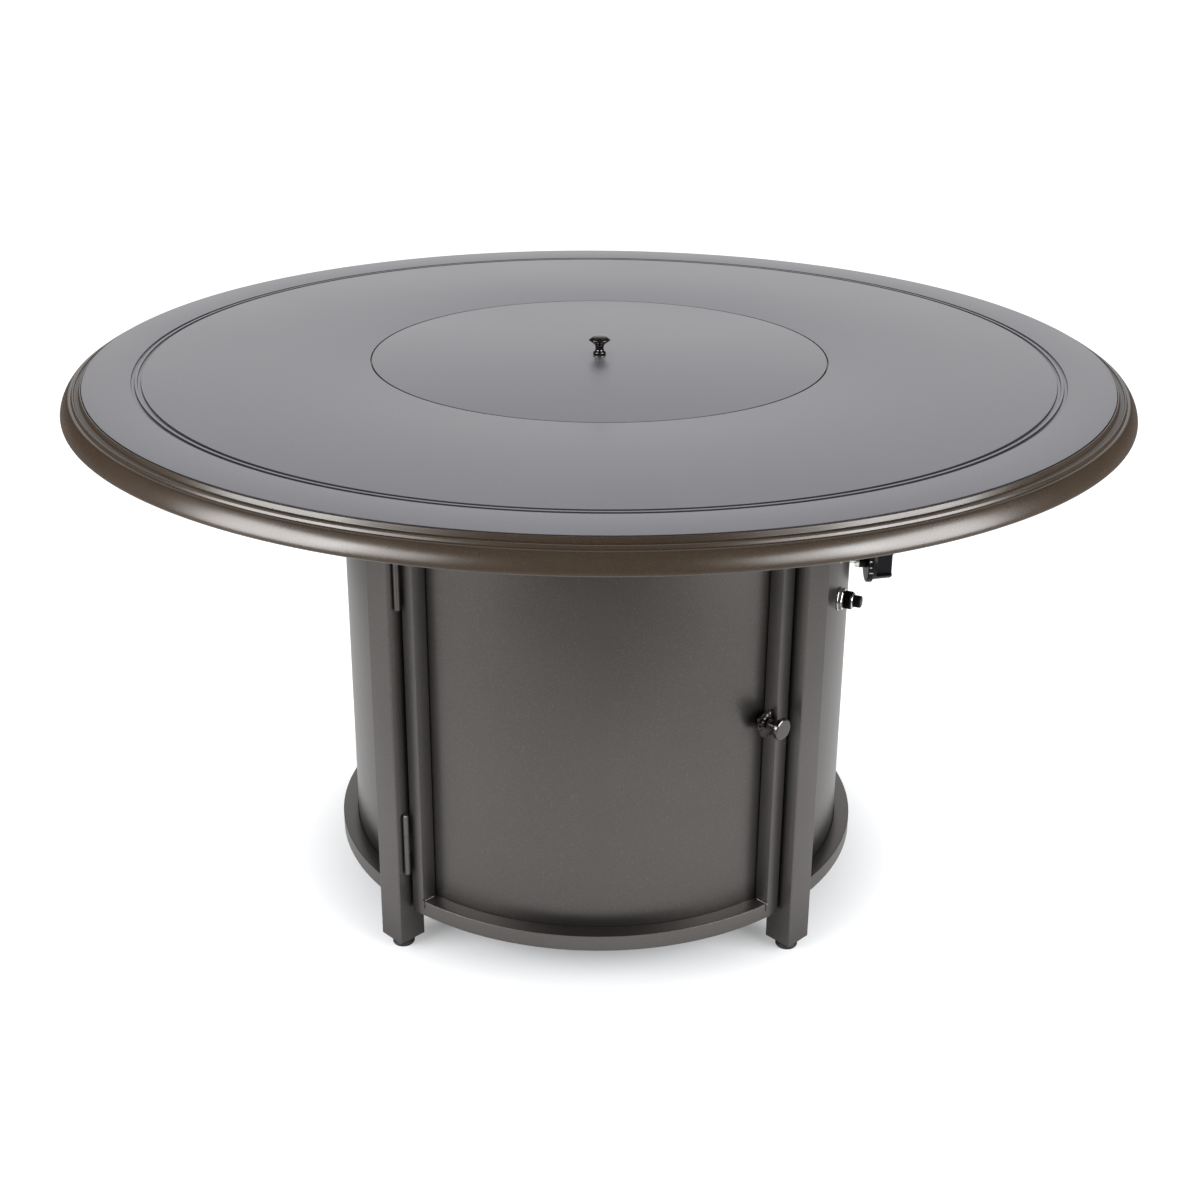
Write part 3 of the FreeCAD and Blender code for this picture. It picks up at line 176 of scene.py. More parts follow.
# To the camera, the paper glows less below the table: a painted shadow over the cast one.
clear = node(tree, "MapRange", {"Value": away,
                                "From Min": shadow_reach[0] * mm, "From Max": shadow_reach[1] * mm,
                                "To Min": shadow_glow[0], "To Max": shadow_glow[1]})
glow_with_painted_shadow = node(tree, "Emission", {"Color": (1, 1, 1, 1), "Strength": clear.outputs[0]})
shaded = node(tree, "BsdfDiffuse", {"Color": colour("#c8c8c8")})
seen = node(tree, "AddShader", {0: glow_with_painted_shadow.outputs[0], 1: shaded.outputs[0]})
plain = node(tree, "BsdfDiffuse", {"Color": colour("#e6e6e6")})
reflected = node(tree, "MixShader", {0: ray(tree, "Glossy"), 1: plain.outputs[0], 2: mirrored.outputs[0]})
paper = node(tree, "MixShader", {0: ray(tree, "Camera", "Transmission"), 1: reflected.outputs[0],
                                 2: seen.outputs[0]})
node(tree, "OutputMaterial", {"Surface": paper.outputs[0]})
floor_mesh.materials.append(floor_paper)


def soft_box(name, place, target, wide, high, power):
    """One rectangular soft box that faces a point."""
    light = bpy.data.lights.new(name, "AREA")
    light.shape = "RECTANGLE"
    light.size = wide * mm
    light.size_y = high * mm
    light.energy = power
    light.color = (0.97, 0.985, 1.0)
    lamp = bpy.data.objects.new(name, light)
    lamp.visible_camera = False
    place = Vector(place) * mm
    turn = (place - Vector(target) * mm).to_track_quat("Z", "Y").to_matrix().to_4x4()
    lamp.matrix_world = Matrix.Translation(place) @ turn
    bpy.context.scene.collection.objects.link(lamp)
    return lamp


side_boxes = []
for side, hand in (("left", -1), ("right", 1)):
    side_boxes += [soft_box(side + "_box", place=(hand * 2300, -1430, 1230), target=(0, -500, 600),
                            wide=1550, high=1600, power=77),
                   soft_box(side + "_front_box", place=(hand * 2150, -2580, 1560), target=(0, -500, 640),
                            wide=1300, high=1250, power=31)]
top_box = soft_box("top_box", place=(0, -200, 3200), target=(0, 0, 0), wide=3600, high=3000, power=46)


def flat_top(piece):
    """Light a flat satin top from overhead alone, as flags keep the side boxes out of its mirror."""
    for lamp, state in [(top_box, "INCLUDE")] + [(box, "EXCLUDE") for box in side_boxes]:
        if not lamp.light_linking.receiver_collection:
            lamp.light_linking.receiver_collection = bpy.data.collections.new(lamp.name + "_link")
        linked = lamp.light_linking.receiver_collection
        linked.objects.link(piece)
        linked.collection_objects[-1].light_linking.link_state = state


# Top plate
# A flat sheet disc with two pressed grooves near its edge, which rests on the rim's seat.
# Steel, powder coated in a pewter grey with metal flake, satin and very slightly clouded.


def corners_of(name):
    """The lowest and highest corner of a solid, in millimetres."""
    return [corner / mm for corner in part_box(name)]


def rounded(corners, steps=8):
    """A closed outline in which a corner with a third number is rounded to that radius."""
    outline = []
    for i, corner in enumerate(corners):
        here = Vector(corner[:2])
        if len(corner) == 2:
            outline.append(tuple(here))
            continue
        back = (Vector(corners[i - 1][:2]) - here).normalized()
        ahead = (Vector(corners[(i + 1) % len(corners)][:2]) - here).normalized()
        half_angle = back.angle(ahead) / 2
        centre = here + (back + ahead).normalized() * corner[2] / sin(half_angle)
        first = here + back * corner[2] / tan(half_angle) - centre
        last = here + ahead * corner[2] / tan(half_angle) - centre
        bend = copysign(pi - 2 * half_angle, first.x * last.y - first.y * last.x)
        for step in range(steps + 1):
            part = bend * step / steps
            outline.append((centre.x + first.x * cos(part) - first.y * sin(part),
                            centre.y + first.x * sin(part) + first.y * cos(part)))
    return outline


def skin(name, loops, closed=False, sharp=35):
    """A mesh piece over a row of point loops in millimetres, capped at both ends unless it is closed."""
    same_point, no_area = 1e-7, 1e-14
    shape = bmesh.new()
    rows = [[shape.verts.new(Vector(point) * mm) for point in loop] for loop in loops]
    count = len(rows[0])
    for i in range(len(rows) if closed else len(rows) - 1):
        low, high = rows[i], rows[(i + 1) % len(rows)]
        for j in range(count):
            k = (j + 1) % count
            shape.faces.new((low[j], low[k], high[k], high[j]))
    if not closed:
        shape.faces.new(rows[0][::-1])
        shape.faces.new(rows[-1])
    bmesh.ops.remove_doubles(shape, verts=shape.verts, dist=same_point)
    loose = [face for face in shape.faces if face.calc_area() < no_area]
    bmesh.ops.delete(shape, geom=loose, context="FACES")
    bmesh.ops.delete(shape, geom=[edge for edge in shape.edges if not edge.link_faces], context="EDGES")
    bmesh.ops.recalc_face_normals(shape, faces=shape.faces)
    mesh = bpy.data.meshes.new(name)
    shape.to_mesh(mesh)
    shape.free()
    mesh.shade_smooth()
    mesh.set_sharp_from_angle(angle=radians(sharp))
    piece = bpy.data.objects.new(name, mesh)
    bpy.context.scene.collection.objects.link(piece)
    return piece


def turned(name, outline, start=0, end=360, trim=0, steps=360, sharp=35):
    """A piece turned about the table's axis. Its ends keep the trim's distance from the end planes."""
    whole = end - start == 360
    loops = []
    for step in range(steps if whole else steps + 1):
        loop = []
        for radius, height in outline:
            inset = degrees(asin(trim / radius)) if trim else 0
            angle = radians(start + inset + (end - start - 2 * inset) * step / steps)
            loop.append((radius * cos(angle), radius * sin(angle), height))
        loops.append(loop)
    return skin(name, loops, closed=whole, sharp=sharp)


def fit(piece, body, slot, material, *nodes):
    """Give a piece its finish and its body, and hide the solids that it stands for."""
    piece.data.materials.append(material)
    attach(piece, body)
    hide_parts(*nodes)
    return piece


def powder_coat(name, deep, pale, cloud, gloss, metal, sheen=0.5, flake=0.12):
    """Metal-flake powder coat: two close shades in soft clouds, fine flecks and a faint orange peel."""
    fleck_size = 1.6  # real flake is far finer; this is the smallest that a picture shows
    peel_size = 3.0  # real orange peel is about 1 mm; it is drawn as coarse as it needs to show
    peel_depth = 0.03
    cloud_low, cloud_high = 0.25, 0.75
    fleck_low, fleck_high = 0.55, 0.8
    gloss_swing = 0.02
    material = bpy.data.materials.new(name)
    tree = new_tree(material)
    where = node(tree, "TexCoord").outputs["Object"]
    clouds = node(tree, "TexNoise", {"Vector": where, "Scale": 1 / (cloud * mm), "Detail": 3.0})
    spread = node(tree, "MapRange", {"Value": clouds.outputs["Fac"],
                                     "From Min": cloud_low, "From Max": cloud_high})
    shade = node(tree, "Mix", {"Factor": spread.outputs[0], "A": colour(deep), "B": colour(pale)},
                 data_type="RGBA")
    flakes = node(tree, "TexNoise", {"Vector": where, "Scale": 1 / (fleck_size * mm), "Detail": 1.0})
    bright_flakes = node(tree, "MapRange", {"Value": flakes.outputs["Fac"],
                                            "From Min": fleck_low, "From Max": fleck_high,
                                            "To Min": 0.0, "To Max": flake})
    flecked = node(tree, "Mix", {"Factor": bright_flakes.outputs[0], "A": shade.outputs["Result"],
                                 "B": colour("#a9a6a2")}, data_type="RGBA")
    rough = node(tree, "MapRange", {"Value": clouds.outputs["Fac"],
                                    "From Min": cloud_low, "From Max": cloud_high,
                                    "To Min": gloss - gloss_swing, "To Max": gloss + gloss_swing})
    peel = node(tree, "TexNoise", {"Vector": where, "Scale": 1 / (peel_size * mm), "Detail": 2.0})
    bump = node(tree, "Bump", {"Height": peel.outputs["Fac"], "Strength": 0.25, "Distance": peel_depth * mm})
    shader = node(tree, "BsdfPrincipled", {"Base Color": flecked.outputs["Result"], "Metallic": metal,
                                           "Specular IOR Level": sheen, "Roughness": rough.outputs[0],
                                           "Normal": bump.outputs[0]})
    node(tree, "OutputMaterial", {"Surface": shader.outputs[0]})
    return material


pewter_coat = powder_coat("pewter_powder_coat", "#747379", "#7a797f", cloud=160, gloss=0.31, metal=0.6)

plate_low, plate_high = corners_of("table_plate")
plate_top = plate_high.z
plate_radius = plate_high.x
lid_low, lid_high = corners_of("lid_disc")
lid_gap = 1.5
plate_hole = lid_high.x + lid_gap
groove_circle = plate_radius - 58
groove_pitch = 7
groove_half = 2.1
groove_depth = 2.5
groove_draft = 0.2
groove_lip = 0.25
groove_root = 0.8


def groove(middle):
    """One pressed groove with steep sides and soft lips, from outside to inside."""
    return [(middle + groove_half, plate_top, groove_lip),
            (middle + groove_half - groove_draft, plate_top - groove_depth, groove_root),
            (middle - groove_half + groove_draft, plate_top - groove_depth, groove_root),
            (middle - groove_half, plate_top, groove_lip)]


plate = turned("top_plate", rounded([
    (plate_hole, plate_low.z, 0.4),
    (plate_radius, plate_low.z, 0.4),
    (plate_radius, plate_top, 0.5),
    *groove(groove_circle + groove_pitch / 2),
    *groove(groove_circle - groove_pitch / 2),
    (plate_hole, plate_top, 0.6),
], 5))
fit(plate, "frame", "top_sheet", pewter_coat, "table_plate")
flat_top(plate)

# Rim
# A bullnose ring that the plate rests in: a small bead beside the plate, a shallow cove with a ridge, and
# a nose that slopes outward with a gentle bulge. Cast aluminium, in a glossier, browner bronze coat.

bronze_coat = powder_coat("bronze_powder_coat", "#32281e", "#392e23", cloud=90, gloss=0.27, metal=0.15,
                          sheen=0.75, flake=0.035)

rim_low, rim_high = corners_of("table_rim")
rim_radius = rim_high.x
rim_wall = 12
seat_inner = plate_radius - 19
seat_low = plate_low.z - 4
bead_inner = plate_radius + 0.3
bead_outer = bead_inner + 1.8
bead_top = rim_high.z + 0.9
cove_depth = 7.2
ridge = plate_radius + 10.3
nose_top = plate_top - 8.8
nose_low = rim_low.z + 2
bulge_radius = 29.3
bulge_out = rim_radius - 29.04
bulge_up = plate_top - 30.53
nose_round = [(bulge_out + bulge_radius * cos(radians(lean)), bulge_up + bulge_radius * sin(radians(lean)))
              for lean in range(40, 9, -3)]
rim = turned("rim_ring", rounded([
    (seat_inner, plate_low.z),
    (bead_inner, plate_low.z, 0.3),
    (bead_inner, bead_top, 0.7),
    (bead_outer, bead_top, 0.8),
    (bead_outer + 1.0, plate_top - 6.0, 1.0),
    (ridge - 2.3, plate_top - cove_depth, 0.8),
    (ridge - 1.5, plate_top - 5.4, 0.6),
    (ridge + 0.4, plate_top - 5.7, 1.2),
    (ridge + 1.2, nose_top + 0.2, 0.5),
    (nose_round[0][0] - 2.35, nose_top - 0.1, 5.0),
    *nose_round,
    (rim_radius, nose_low, 2.6),
    (rim_radius - 8, nose_low),
    (rim_radius - rim_wall, rim_low.z + 1, 1.0),
    (rim_radius - rim_wall, plate_top - 10, 1.5),
    (plate_radius, seat_low, 1.0),
    (seat_inner, seat_low, 1.0),
], 8))
fit(rim, "frame", "rim_metal", bronze_coat, "table_rim")

# Lid
# The burner's cover: a flat disc of the same coated sheet, flush with the plate, with a rolled ring
# welded under it that finds its place in the seat.

screw_hole = 2.6
lid_ring_low, lid_ring_high = corners_of("lid_ring")
lid_ring_inner = lid_ring_high.x - 2
lid = turned("lid_plate", rounded([
    (screw_hole, lid_low.z),
    (lid_high.x, lid_low.z, 0.4),
    (lid_high.x, lid_high.z, 0.6),
    (screw_hole, lid_high.z),
], 4))
fit(lid, "lid", "top_sheet", pewter_coat, "lid_disc")
flat_top(lid)
lid_ring = turned("lid_locating_ring", rounded([
    (lid_ring_inner, lid_ring_low.z, 0.5),
    (lid_ring_high.x, lid_ring_low.z, 0.5),
    (lid_ring_high.x, lid_ring_high.z),
    (lid_ring_inner, lid_ring_high.z),
], 3))
fit(lid_ring, "lid", "top_sheet", pewter_coat, "lid_ring")

# Lid knob
# A small turned pull with a crowned cap, a flared neck and a beaded foot, held by a screw from below.
# Zinc casting, polished and plated in black nickel: a dark mirror.


def plated(name, tint, polish, smear):
    """A polished plating: a dark or bright mirror, with faint handling marks in its gloss."""
    mark_depth = 0.02
    material = bpy.data.materials.new(name)
    tree = new_tree(material)
    where = node(tree, "TexCoord").outputs["Object"]
    marks = node(tree, "TexNoise", {"Vector": where, "Scale": 1 / (smear * mm), "Detail": 3.0})
    rough = node(tree, "MapRange", {"Value": marks.outputs["Fac"], "From Min": 0.3, "From Max": 0.7,
                                    "To Min": polish, "To Max": polish + 0.06})
    ripple = node(tree, "Bump", {"Height": marks.outputs["Fac"], "Strength": 0.1,
                                 "Distance": mark_depth * mm})
    shader = node(tree, "BsdfPrincipled", {"Base Color": colour(tint), "Metallic": 1.0,
                                           "Roughness": rough.outputs[0], "Normal": ripple.outputs[0]})
    node(tree, "OutputMaterial", {"Surface": shader.outputs[0]})
    return material


black_nickel = plated("black_nickel_plating", "#5e5b5b", polish=0.13, smear=6)

knob_low, knob_high = corners_of("lid_knob")
foot_radius = 7.5
neck_radius = 4.9
cap_radius = knob_high.x
crown_radius = cap_radius * 0.55
knob_foot = knob_low.z
neck_low = knob_foot + 5
neck_high = knob_foot + 11
cap_low = knob_foot + 17
cap_edge = knob_foot + 18.3
lid_knob = turned("lid_pull", rounded([
    (0, knob_foot),
    (foot_radius, knob_foot, 0.8),
    (foot_radius, knob_foot + 3, 1.2),
    (neck_radius, neck_low, 2.0),
    (neck_radius, neck_high, 6.0),
    (cap_radius, cap_low, 0.4),
    (cap_radius, cap_edge, 0.6),
    (crown_radius, knob_high.z, 10.0),
    (0, knob_high.z),
], 8), steps=96)
fit(lid_knob, "lid", "knob_metal", black_nickel, "lid_knob")

zinc_plate = plated("zinc_plating", "#b9bcc0", polish=0.28, smear=3)

screw_low, screw_high = corners_of("lid_screw")
head_radius = 4.5
head_top = screw_low.z + 2.8
shank_radius = 2.5
lid_screw = turned("lid_knob_screw", rounded([
    (0, screw_low.z),
    (head_radius, screw_low.z, 1.6),
    (head_radius, head_top),
    (shank_radius, head_top),
    (shank_radius, screw_high.z, 0.5),
    (0, screw_high.z),
], 5), steps=48)
fit(lid_screw, "lid", "zinc_steel", zinc_plate, "lid_screw")

# Under the top
# The stepped seat of the lid and pan, four square arms out to the rim, the rolled hoop on the legs and
# the bolts between arm and hoop. Steel in the base's own gunmetal coat.


def carry(material, *names):
    """Give solids whose shape is right their real finish, smooth on the round and sharp at the edges."""
    for name in names:
        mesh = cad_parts[name].data
        mesh.materials.clear()
        mesh.materials.append(material)
        mesh.shade_smooth()
        mesh.set_sharp_from_angle(angle=radians(30))


gunmetal_coat = powder_coat("gunmetal_powder_coat", "#5d5a58", "#64615f", cloud=130, gloss=0.36, metal=0.95)

lid_seat_low, lid_seat_high = corners_of("lid_seat")
seat_wall = 3
step_radius = lid_seat_high.x - 30
pan_ledge_inner = step_radius - 16
pan_ledge_top = lid_seat_high.z - 10
lid_seat = turned("lid_seat_ring", rounded([
    (step_radius, lid_seat_high.z, 1.5),
    (lid_seat_high.x, lid_seat_high.z, 1.5),
    (lid_seat_high.x, lid_seat_low.z, 0.5),
    (lid_seat_high.x - seat_wall, lid_seat_low.z, 0.5),
    (lid_seat_high.x - seat_wall, lid_seat_high.z - seat_wall, 1.0),
    (step_radius + seat_wall, lid_seat_high.z - seat_wall, 1.0),
    (step_radius + seat_wall, pan_ledge_top - seat_wall, 1.5),
    (pan_ledge_inner, pan_ledge_top - seat_wall, 0.5),
    (pan_ledge_inner, pan_ledge_top, 0.5),
    (step_radius, pan_ledge_top, 1.0),
], 4), steps=256)
fit(lid_seat, "frame", "base_paint", gunmetal_coat, "lid_seat")

hoop_low, hoop_high = corners_of("base_hoop")
tube_width = 19
ring_inner = hoop_high.x - tube_width
ring_outer = hoop_high.x


def square(left, right, low, high, radius):
    """A rectangle with round corners."""
    return rounded([(x, y, radius) for x, y in ((left, low), (right, low), (right, high), (left, high))], 5)


hoop = turned("base_top_hoop", square(ring_inner, ring_outer, hoop_low.z, hoop_high.z, 1.5), steps=256)
fit(hoop, "frame", "base_paint", gunmetal_coat, "base_hoop")
arms = ["top_arm_" + corner for corner in ("front_left", "front_right", "rear_left", "rear_right")]
carry(gunmetal_coat, *arms)
carry(zinc_plate, "arm_bolts")

# Legs
# Four square tubes turned to face outwards, from the hoop to the floor, each with a plastic plug and a
# black screw-in glide. Steel, gunmetal powder coat.

legs = {"front_right": -45, "rear_right": 45, "rear_left": 135, "front_left": -135}
leg_width = 36
leg_wall = 2
leg_inner = ring_inner - 2
leg_outer = leg_inner + leg_width
leg_side = leg_width / 2
glide_radius = 13
cup_radius = 11.6
stem_radius = 4
stem_top = 29


def placed(piece, azimuth, out=0, aside=0, height=0, lying=False):
    """Move a piece's mesh to a place along one outward direction; lying turns its length outward."""
    lay = Matrix.Rotation(radians(90), 4, "Y") if lying else Matrix.Identity(4)
    piece.data.transform(Matrix.Rotation(radians(azimuth), 4, "Z")
                         @ Matrix.Translation(Vector((out, aside, height)) * mm) @ lay)
    return piece


def upright(name, outline, low, high, hole=None):
    """A bar of constant section between two heights, open along a hole of as many points."""
    loops = [[(x, y, z) for x, y in outline] for z in (low, high)]
    if hole:
        loops += [[(x, y, z) for x, y in hole] for z in (high, low)]
    return skin(name, loops, closed=bool(hole))


def mottled(name, deep, pale, patch, gloss, detail=2.0):
    """A plain surface without metal: two close shades in soft patches of one size, evenly glossy."""
    material = bpy.data.materials.new(name)
    tree = new_tree(material)
    where = node(tree, "TexCoord").outputs["Object"]
    patches = node(tree, "TexNoise", {"Vector": where, "Scale": 1 / (patch * mm), "Detail": detail})
    shade = node(tree, "Mix", {"Factor": patches.outputs["Fac"], "A": colour(deep), "B": colour(pale)},
                 data_type="RGBA")
    shader = node(tree, "BsdfPrincipled", {"Base Color": shade.outputs["Result"], "Roughness": gloss})
    node(tree, "OutputMaterial", {"Surface": shader.outputs[0]})
    return material


# Moulded nylon: nearly black and half dull, with faint scuffs from the floor.
glide_plastic = mottled("black_nylon_glide", "#17181a", "#26272a", patch=4, gloss=0.5, detail=3.0)

for corner, azimuth in legs.items():
    leg_low, leg_high = corners_of("leg_" + corner)
    leg = upright("leg_tube_" + corner,
                  square(leg_inner, leg_outer, -leg_side, leg_side, 1.8), leg_low.z, leg_high.z,
                  square(leg_inner + leg_wall, leg_outer - leg_wall, leg_wall - leg_side,
                         leg_side - leg_wall, 0.6))
    fit(placed(leg, azimuth), "frame", "base_paint", gunmetal_coat, "leg_" + corner)
    glide = turned("foot_glide_" + corner, rounded([
        (0, 0),
        (glide_radius - 1.2, 0, 0.8),
        (glide_radius, 1.8, 1.6),
        (glide_radius, 4.6, 0.8),
        (cup_radius, 5.4, 0.5),
        (cup_radius, 12, 0.8),
        (stem_radius, 13, 0.2),
        (stem_radius, stem_top, 0.4),
        (0, stem_top),
    ], 4), steps=64)
    fit(placed(glide, azimuth, (leg_inner + leg_outer) / 2), "foot_" + corner, "foot_plastic", glide_plastic,
        "glide_" + corner)
carry(glide_plastic, "leg_plugs")

# Lower rings
# Three quarters of rolled square tube between the legs, just above the floor, welded to the leg's
# sides. Steel, gunmetal powder coat.

sides = {"right": 0, "rear": 90, "left": 180}
half_bay = 45
leg_clear = leg_side + 0.1
weld_out = leg_clear + 0.2
lower_low, lower_high = corners_of("lower_ring_right")


def weld(name, points, radius):
    """A weld bead along a few points: a ripple for each pool, four rows long, and tapered ends."""
    ripple = 1.6
    path = []
    for start, end in zip(points[:-1], points[1:]):
        run = Vector(end) - Vector(start)
        count = max(2, int(run.length / ripple * 4))
        path += [Vector(start) + run * i / count for i in range(count)]
    path.append(Vector(points[-1]))
    loops = []
    for i, point in enumerate(path):
        ahead = (path[min(i + 1, len(path) - 1)] - path[max(i - 1, 0)]).normalized()
        across = ahead.orthogonal().normalized()
        over = ahead.cross(across)
        swell = radius * (0.86 + 0.14 * abs(sin(pi * i / 4))) * min(1, 0.35 + min(i, len(path) - 1 - i) / 4)
        loops.append([point + (across * cos(2 * pi * j / 10) + over * sin(2 * pi * j / 10)) * swell
                      for j in range(10)])
    return skin(name, loops, sharp=60)


def on_leg(azimuth, out, aside, height):
    """A point along a leg's outward direction, to its left, and up."""
    angle = radians(azimuth)
    return (out * cos(angle) - aside * sin(angle), out * sin(angle) + aside * cos(angle), height)


for side, azimuth in sides.items():
    ring = turned("lower_tube_" + side,
                  square(ring_inner, ring_outer, lower_low.z, lower_high.z, 0.9),
                  azimuth - half_bay, azimuth + half_bay, trim=leg_clear, steps=96)
    fit(ring, "frame", "base_paint", gunmetal_coat, "lower_ring_" + side)
    for hand, leg_azimuth in ((-1, azimuth + half_bay), (1, azimuth - half_bay)):
        bead = weld("ring_weld_%s_%s" % (side, "left" if hand < 0 else "right"), [
            on_leg(leg_azimuth, ring_inner + 1, hand * weld_out, lower_high.z + 0.2),
            on_leg(leg_azimuth, ring_outer, hand * weld_out, lower_high.z + 0.2),
            on_leg(leg_azimuth, ring_outer + 0.2, hand * weld_out, lower_low.z + 1),
        ], 1.3)
        fit(bead, "frame", "base_paint", gunmetal_coat)

# Side panels
# Three rolled sheets that close the drum between the legs, from inside the lower rings up behind the
# hoop. Steel sheet, in the frame's gunmetal powder coat drawn a shade darker as painted shade; the right
# one is drilled for the gas controls.

# The frame's gunmetal coat, a shade darker on the sheets that stand back under the top: painted shade.
sheet_coat_painted_shade = powder_coat("sheet_powder_coat_painted_shade", "#595654", "#5f5c5a", cloud=200, gloss=0.34, metal=0.95)
panel_low, panel_high = corners_of("side_panel_right")
panel_outer = ring_inner - 0.2
panel_inner = panel_outer - 1.2
spindle_bore = 5.5
igniter_azimuth = -23
igniter_bore = 9.9
screw_azimuth = 24
screw_bore = 2.1


def middle_height(name):
    """The height halfway up a solid."""
    return sum(corner.z for corner in corners_of(name)) / 2


control_height = middle_height("control_knob")
screw_height = middle_height("bracket_screws")


def drill(piece, azimuth, height, radius):
    """Bore one round hole through a sheet, outward along an azimuth."""
    reach = 12
    sides_of_bit = 32
    bit = [(radius * cos(2 * pi * i / sides_of_bit), radius * sin(2 * pi * i / sides_of_bit))
           for i in range(sides_of_bit)]
    tool = placed(upright("drill", bit, -reach, reach), azimuth, panel_outer, 0, height, lying=True)
    bore = piece.modifiers.new("bore", "BOOLEAN")
    bore.object = tool
    bore.solver = "EXACT"
    bpy.context.view_layer.update()
    bored = bpy.data.meshes.new_from_object(piece.evaluated_get(bpy.context.evaluated_depsgraph_get()))
    bored.shade_smooth()
    bored.set_sharp_from_angle(angle=radians(35))
    piece.modifiers.clear()
    piece.data = bored
    bpy.data.objects.remove(tool)


for side, azimuth in sides.items():
    panel = turned("drum_panel_" + side,
                   square(panel_inner, panel_outer, panel_low.z, panel_high.z, 0.4),
                   azimuth - half_bay, azimuth + half_bay, trim=leg_clear, steps=120)
    if side == "right":
        drill(panel, 0, control_height, spindle_bore)
        drill(panel, igniter_azimuth, control_height, igniter_bore)
        drill(panel, -screw_azimuth, screw_height, screw_bore)
        drill(panel, screw_azimuth, screw_height, screw_bore)
    fit(panel, "frame", "panel_paint", sheet_coat_painted_shade, "side_panel_" + side)

# Door
# Two square stiles, a top and a bottom rail bent to the drum's curve, and a rolled panel behind them,
# welded at the corners. Steel, gunmetal powder coat over the weld beads too.

hinge_azimuth = legs["front_left"]
latch_azimuth = legs["front_right"]
stile_near = leg_side + 3.5
stile_far = stile_near + tube_width
stile_wall = 1.5
stile_front = leg_inner + tube_width
stile_low, stile_high = corners_of("door_stile_hinge")
for name, azimuth, left, right in (("hinge", hinge_azimuth, stile_near, stile_far),
                                   ("latch", latch_azimuth, -stile_far, -stile_near)):
    stile = upright("door_upright_" + name, square(leg_inner, stile_front, left, right, 1.0),
                    stile_low.z, stile_high.z,
                    square(leg_inner + stile_wall, stile_front - stile_wall, left + stile_wall,
                           right - stile_wall, 0.3))
    fit(placed(stile, azimuth), "door", "base_paint", gunmetal_coat, "door_stile_" + name)
for name in ("bottom", "top"):
    rail_low, rail_high = corners_of("door_rail_" + name)
    rail = turned("door_cross_rail_" + name,
                  square(ring_inner, ring_outer, rail_low.z, rail_high.z, 0.45),
                  hinge_azimuth, latch_azimuth, trim=stile_far + 0.1, steps=96)
    fit(rail, "door", "base_paint", gunmetal_coat, "door_rail_" + name)
    for hand, azimuth in ((1, hinge_azimuth), (-1, latch_azimuth)):
        aside = hand * (stile_far + 0.6)
        inner_edge = rail_high.z if name == "bottom" else rail_low.z
        lean = 0.3 if name == "bottom" else -0.3
        bead = weld("door_weld_%s_%s" % (name, "left" if hand > 0 else "right"), [
            on_leg(azimuth, ring_inner + 0.6, aside, inner_edge + lean),
            on_leg(azimuth, stile_front - 0.5, aside, inner_edge + lean),
            on_leg(azimuth, stile_front - 0.3, aside, inner_edge - 10 * copysign(1, lean)),
        ], 1.7)
        fit(bead, "door", "base_paint", gunmetal_coat)
door_low, door_high = corners_of("door_panel")
sheet_overlap = 6.5
latch_aside = -(stile_far + 6.5)
latch_height = middle_height("latch_bracket")
latch_bore = 5.4
door_sheet = turned("door_sheet", square(panel_inner, panel_outer, door_low.z, door_high.z, 0.4),
                    hinge_azimuth, latch_azimuth, trim=stile_far - sheet_overlap, steps=120)
shaft_azimuth = latch_azimuth + degrees(asin(latch_aside / panel_outer))
drill(door_sheet, shaft_azimuth, latch_height, latch_bore)
# The door's sheet takes the same darker coat: painted shade.
fit(door_sheet, "door", "panel_paint", sheet_coat_painted_shade, "door_panel")

# Hinges
# Two butt hinges in the gap beside the left leg, three knuckles each on a plain pin. Steel; the leaves
# and knuckles carry the base's coat, the pins are zinc plated.

carry(gunmetal_coat, "hinge_leg_leaves", "hinge_door_leaves")
carry(zinc_plate, "hinge_pins")

# Latch
# A plated turn knob in a sleeve with a round rosette, cut flat where it meets the stile. Its shaft
# carries a pawl behind the panel, which swings behind a keeper on the leg.

sleeve_outer = stile_front + 4
sleeve_inner = sleeve_outer - 22
hub_inner = sleeve_outer + 0.4
disc_inner = hub_inner + 4
disc_outer = disc_inner + 7
shaft_inner = 281
shaft_radius = 4
hub_radius = 7
disc_radius = 12.5
latch_knob = turned("latch_turn_knob", rounded([
    (0, shaft_inner),
    (shaft_radius, shaft_inner, 0.5),
    (shaft_radius, hub_inner),
    (hub_radius, hub_inner, 0.5),
    (hub_radius, disc_inner - 1, 1.5),
    (disc_radius, disc_inner + 1.2, 1.2),
    (disc_radius, disc_outer - 0.8, 0.9),
    (disc_radius - 1.5, disc_outer, 0.6),
    (0, disc_outer),
], 5), steps=96)


def at_latch(piece):
    """Lay a turned piece along the latch's shaft, with its lengths counted from the table's axis."""
    return placed(piece, latch_azimuth, 0, latch_aside, latch_height, lying=True)


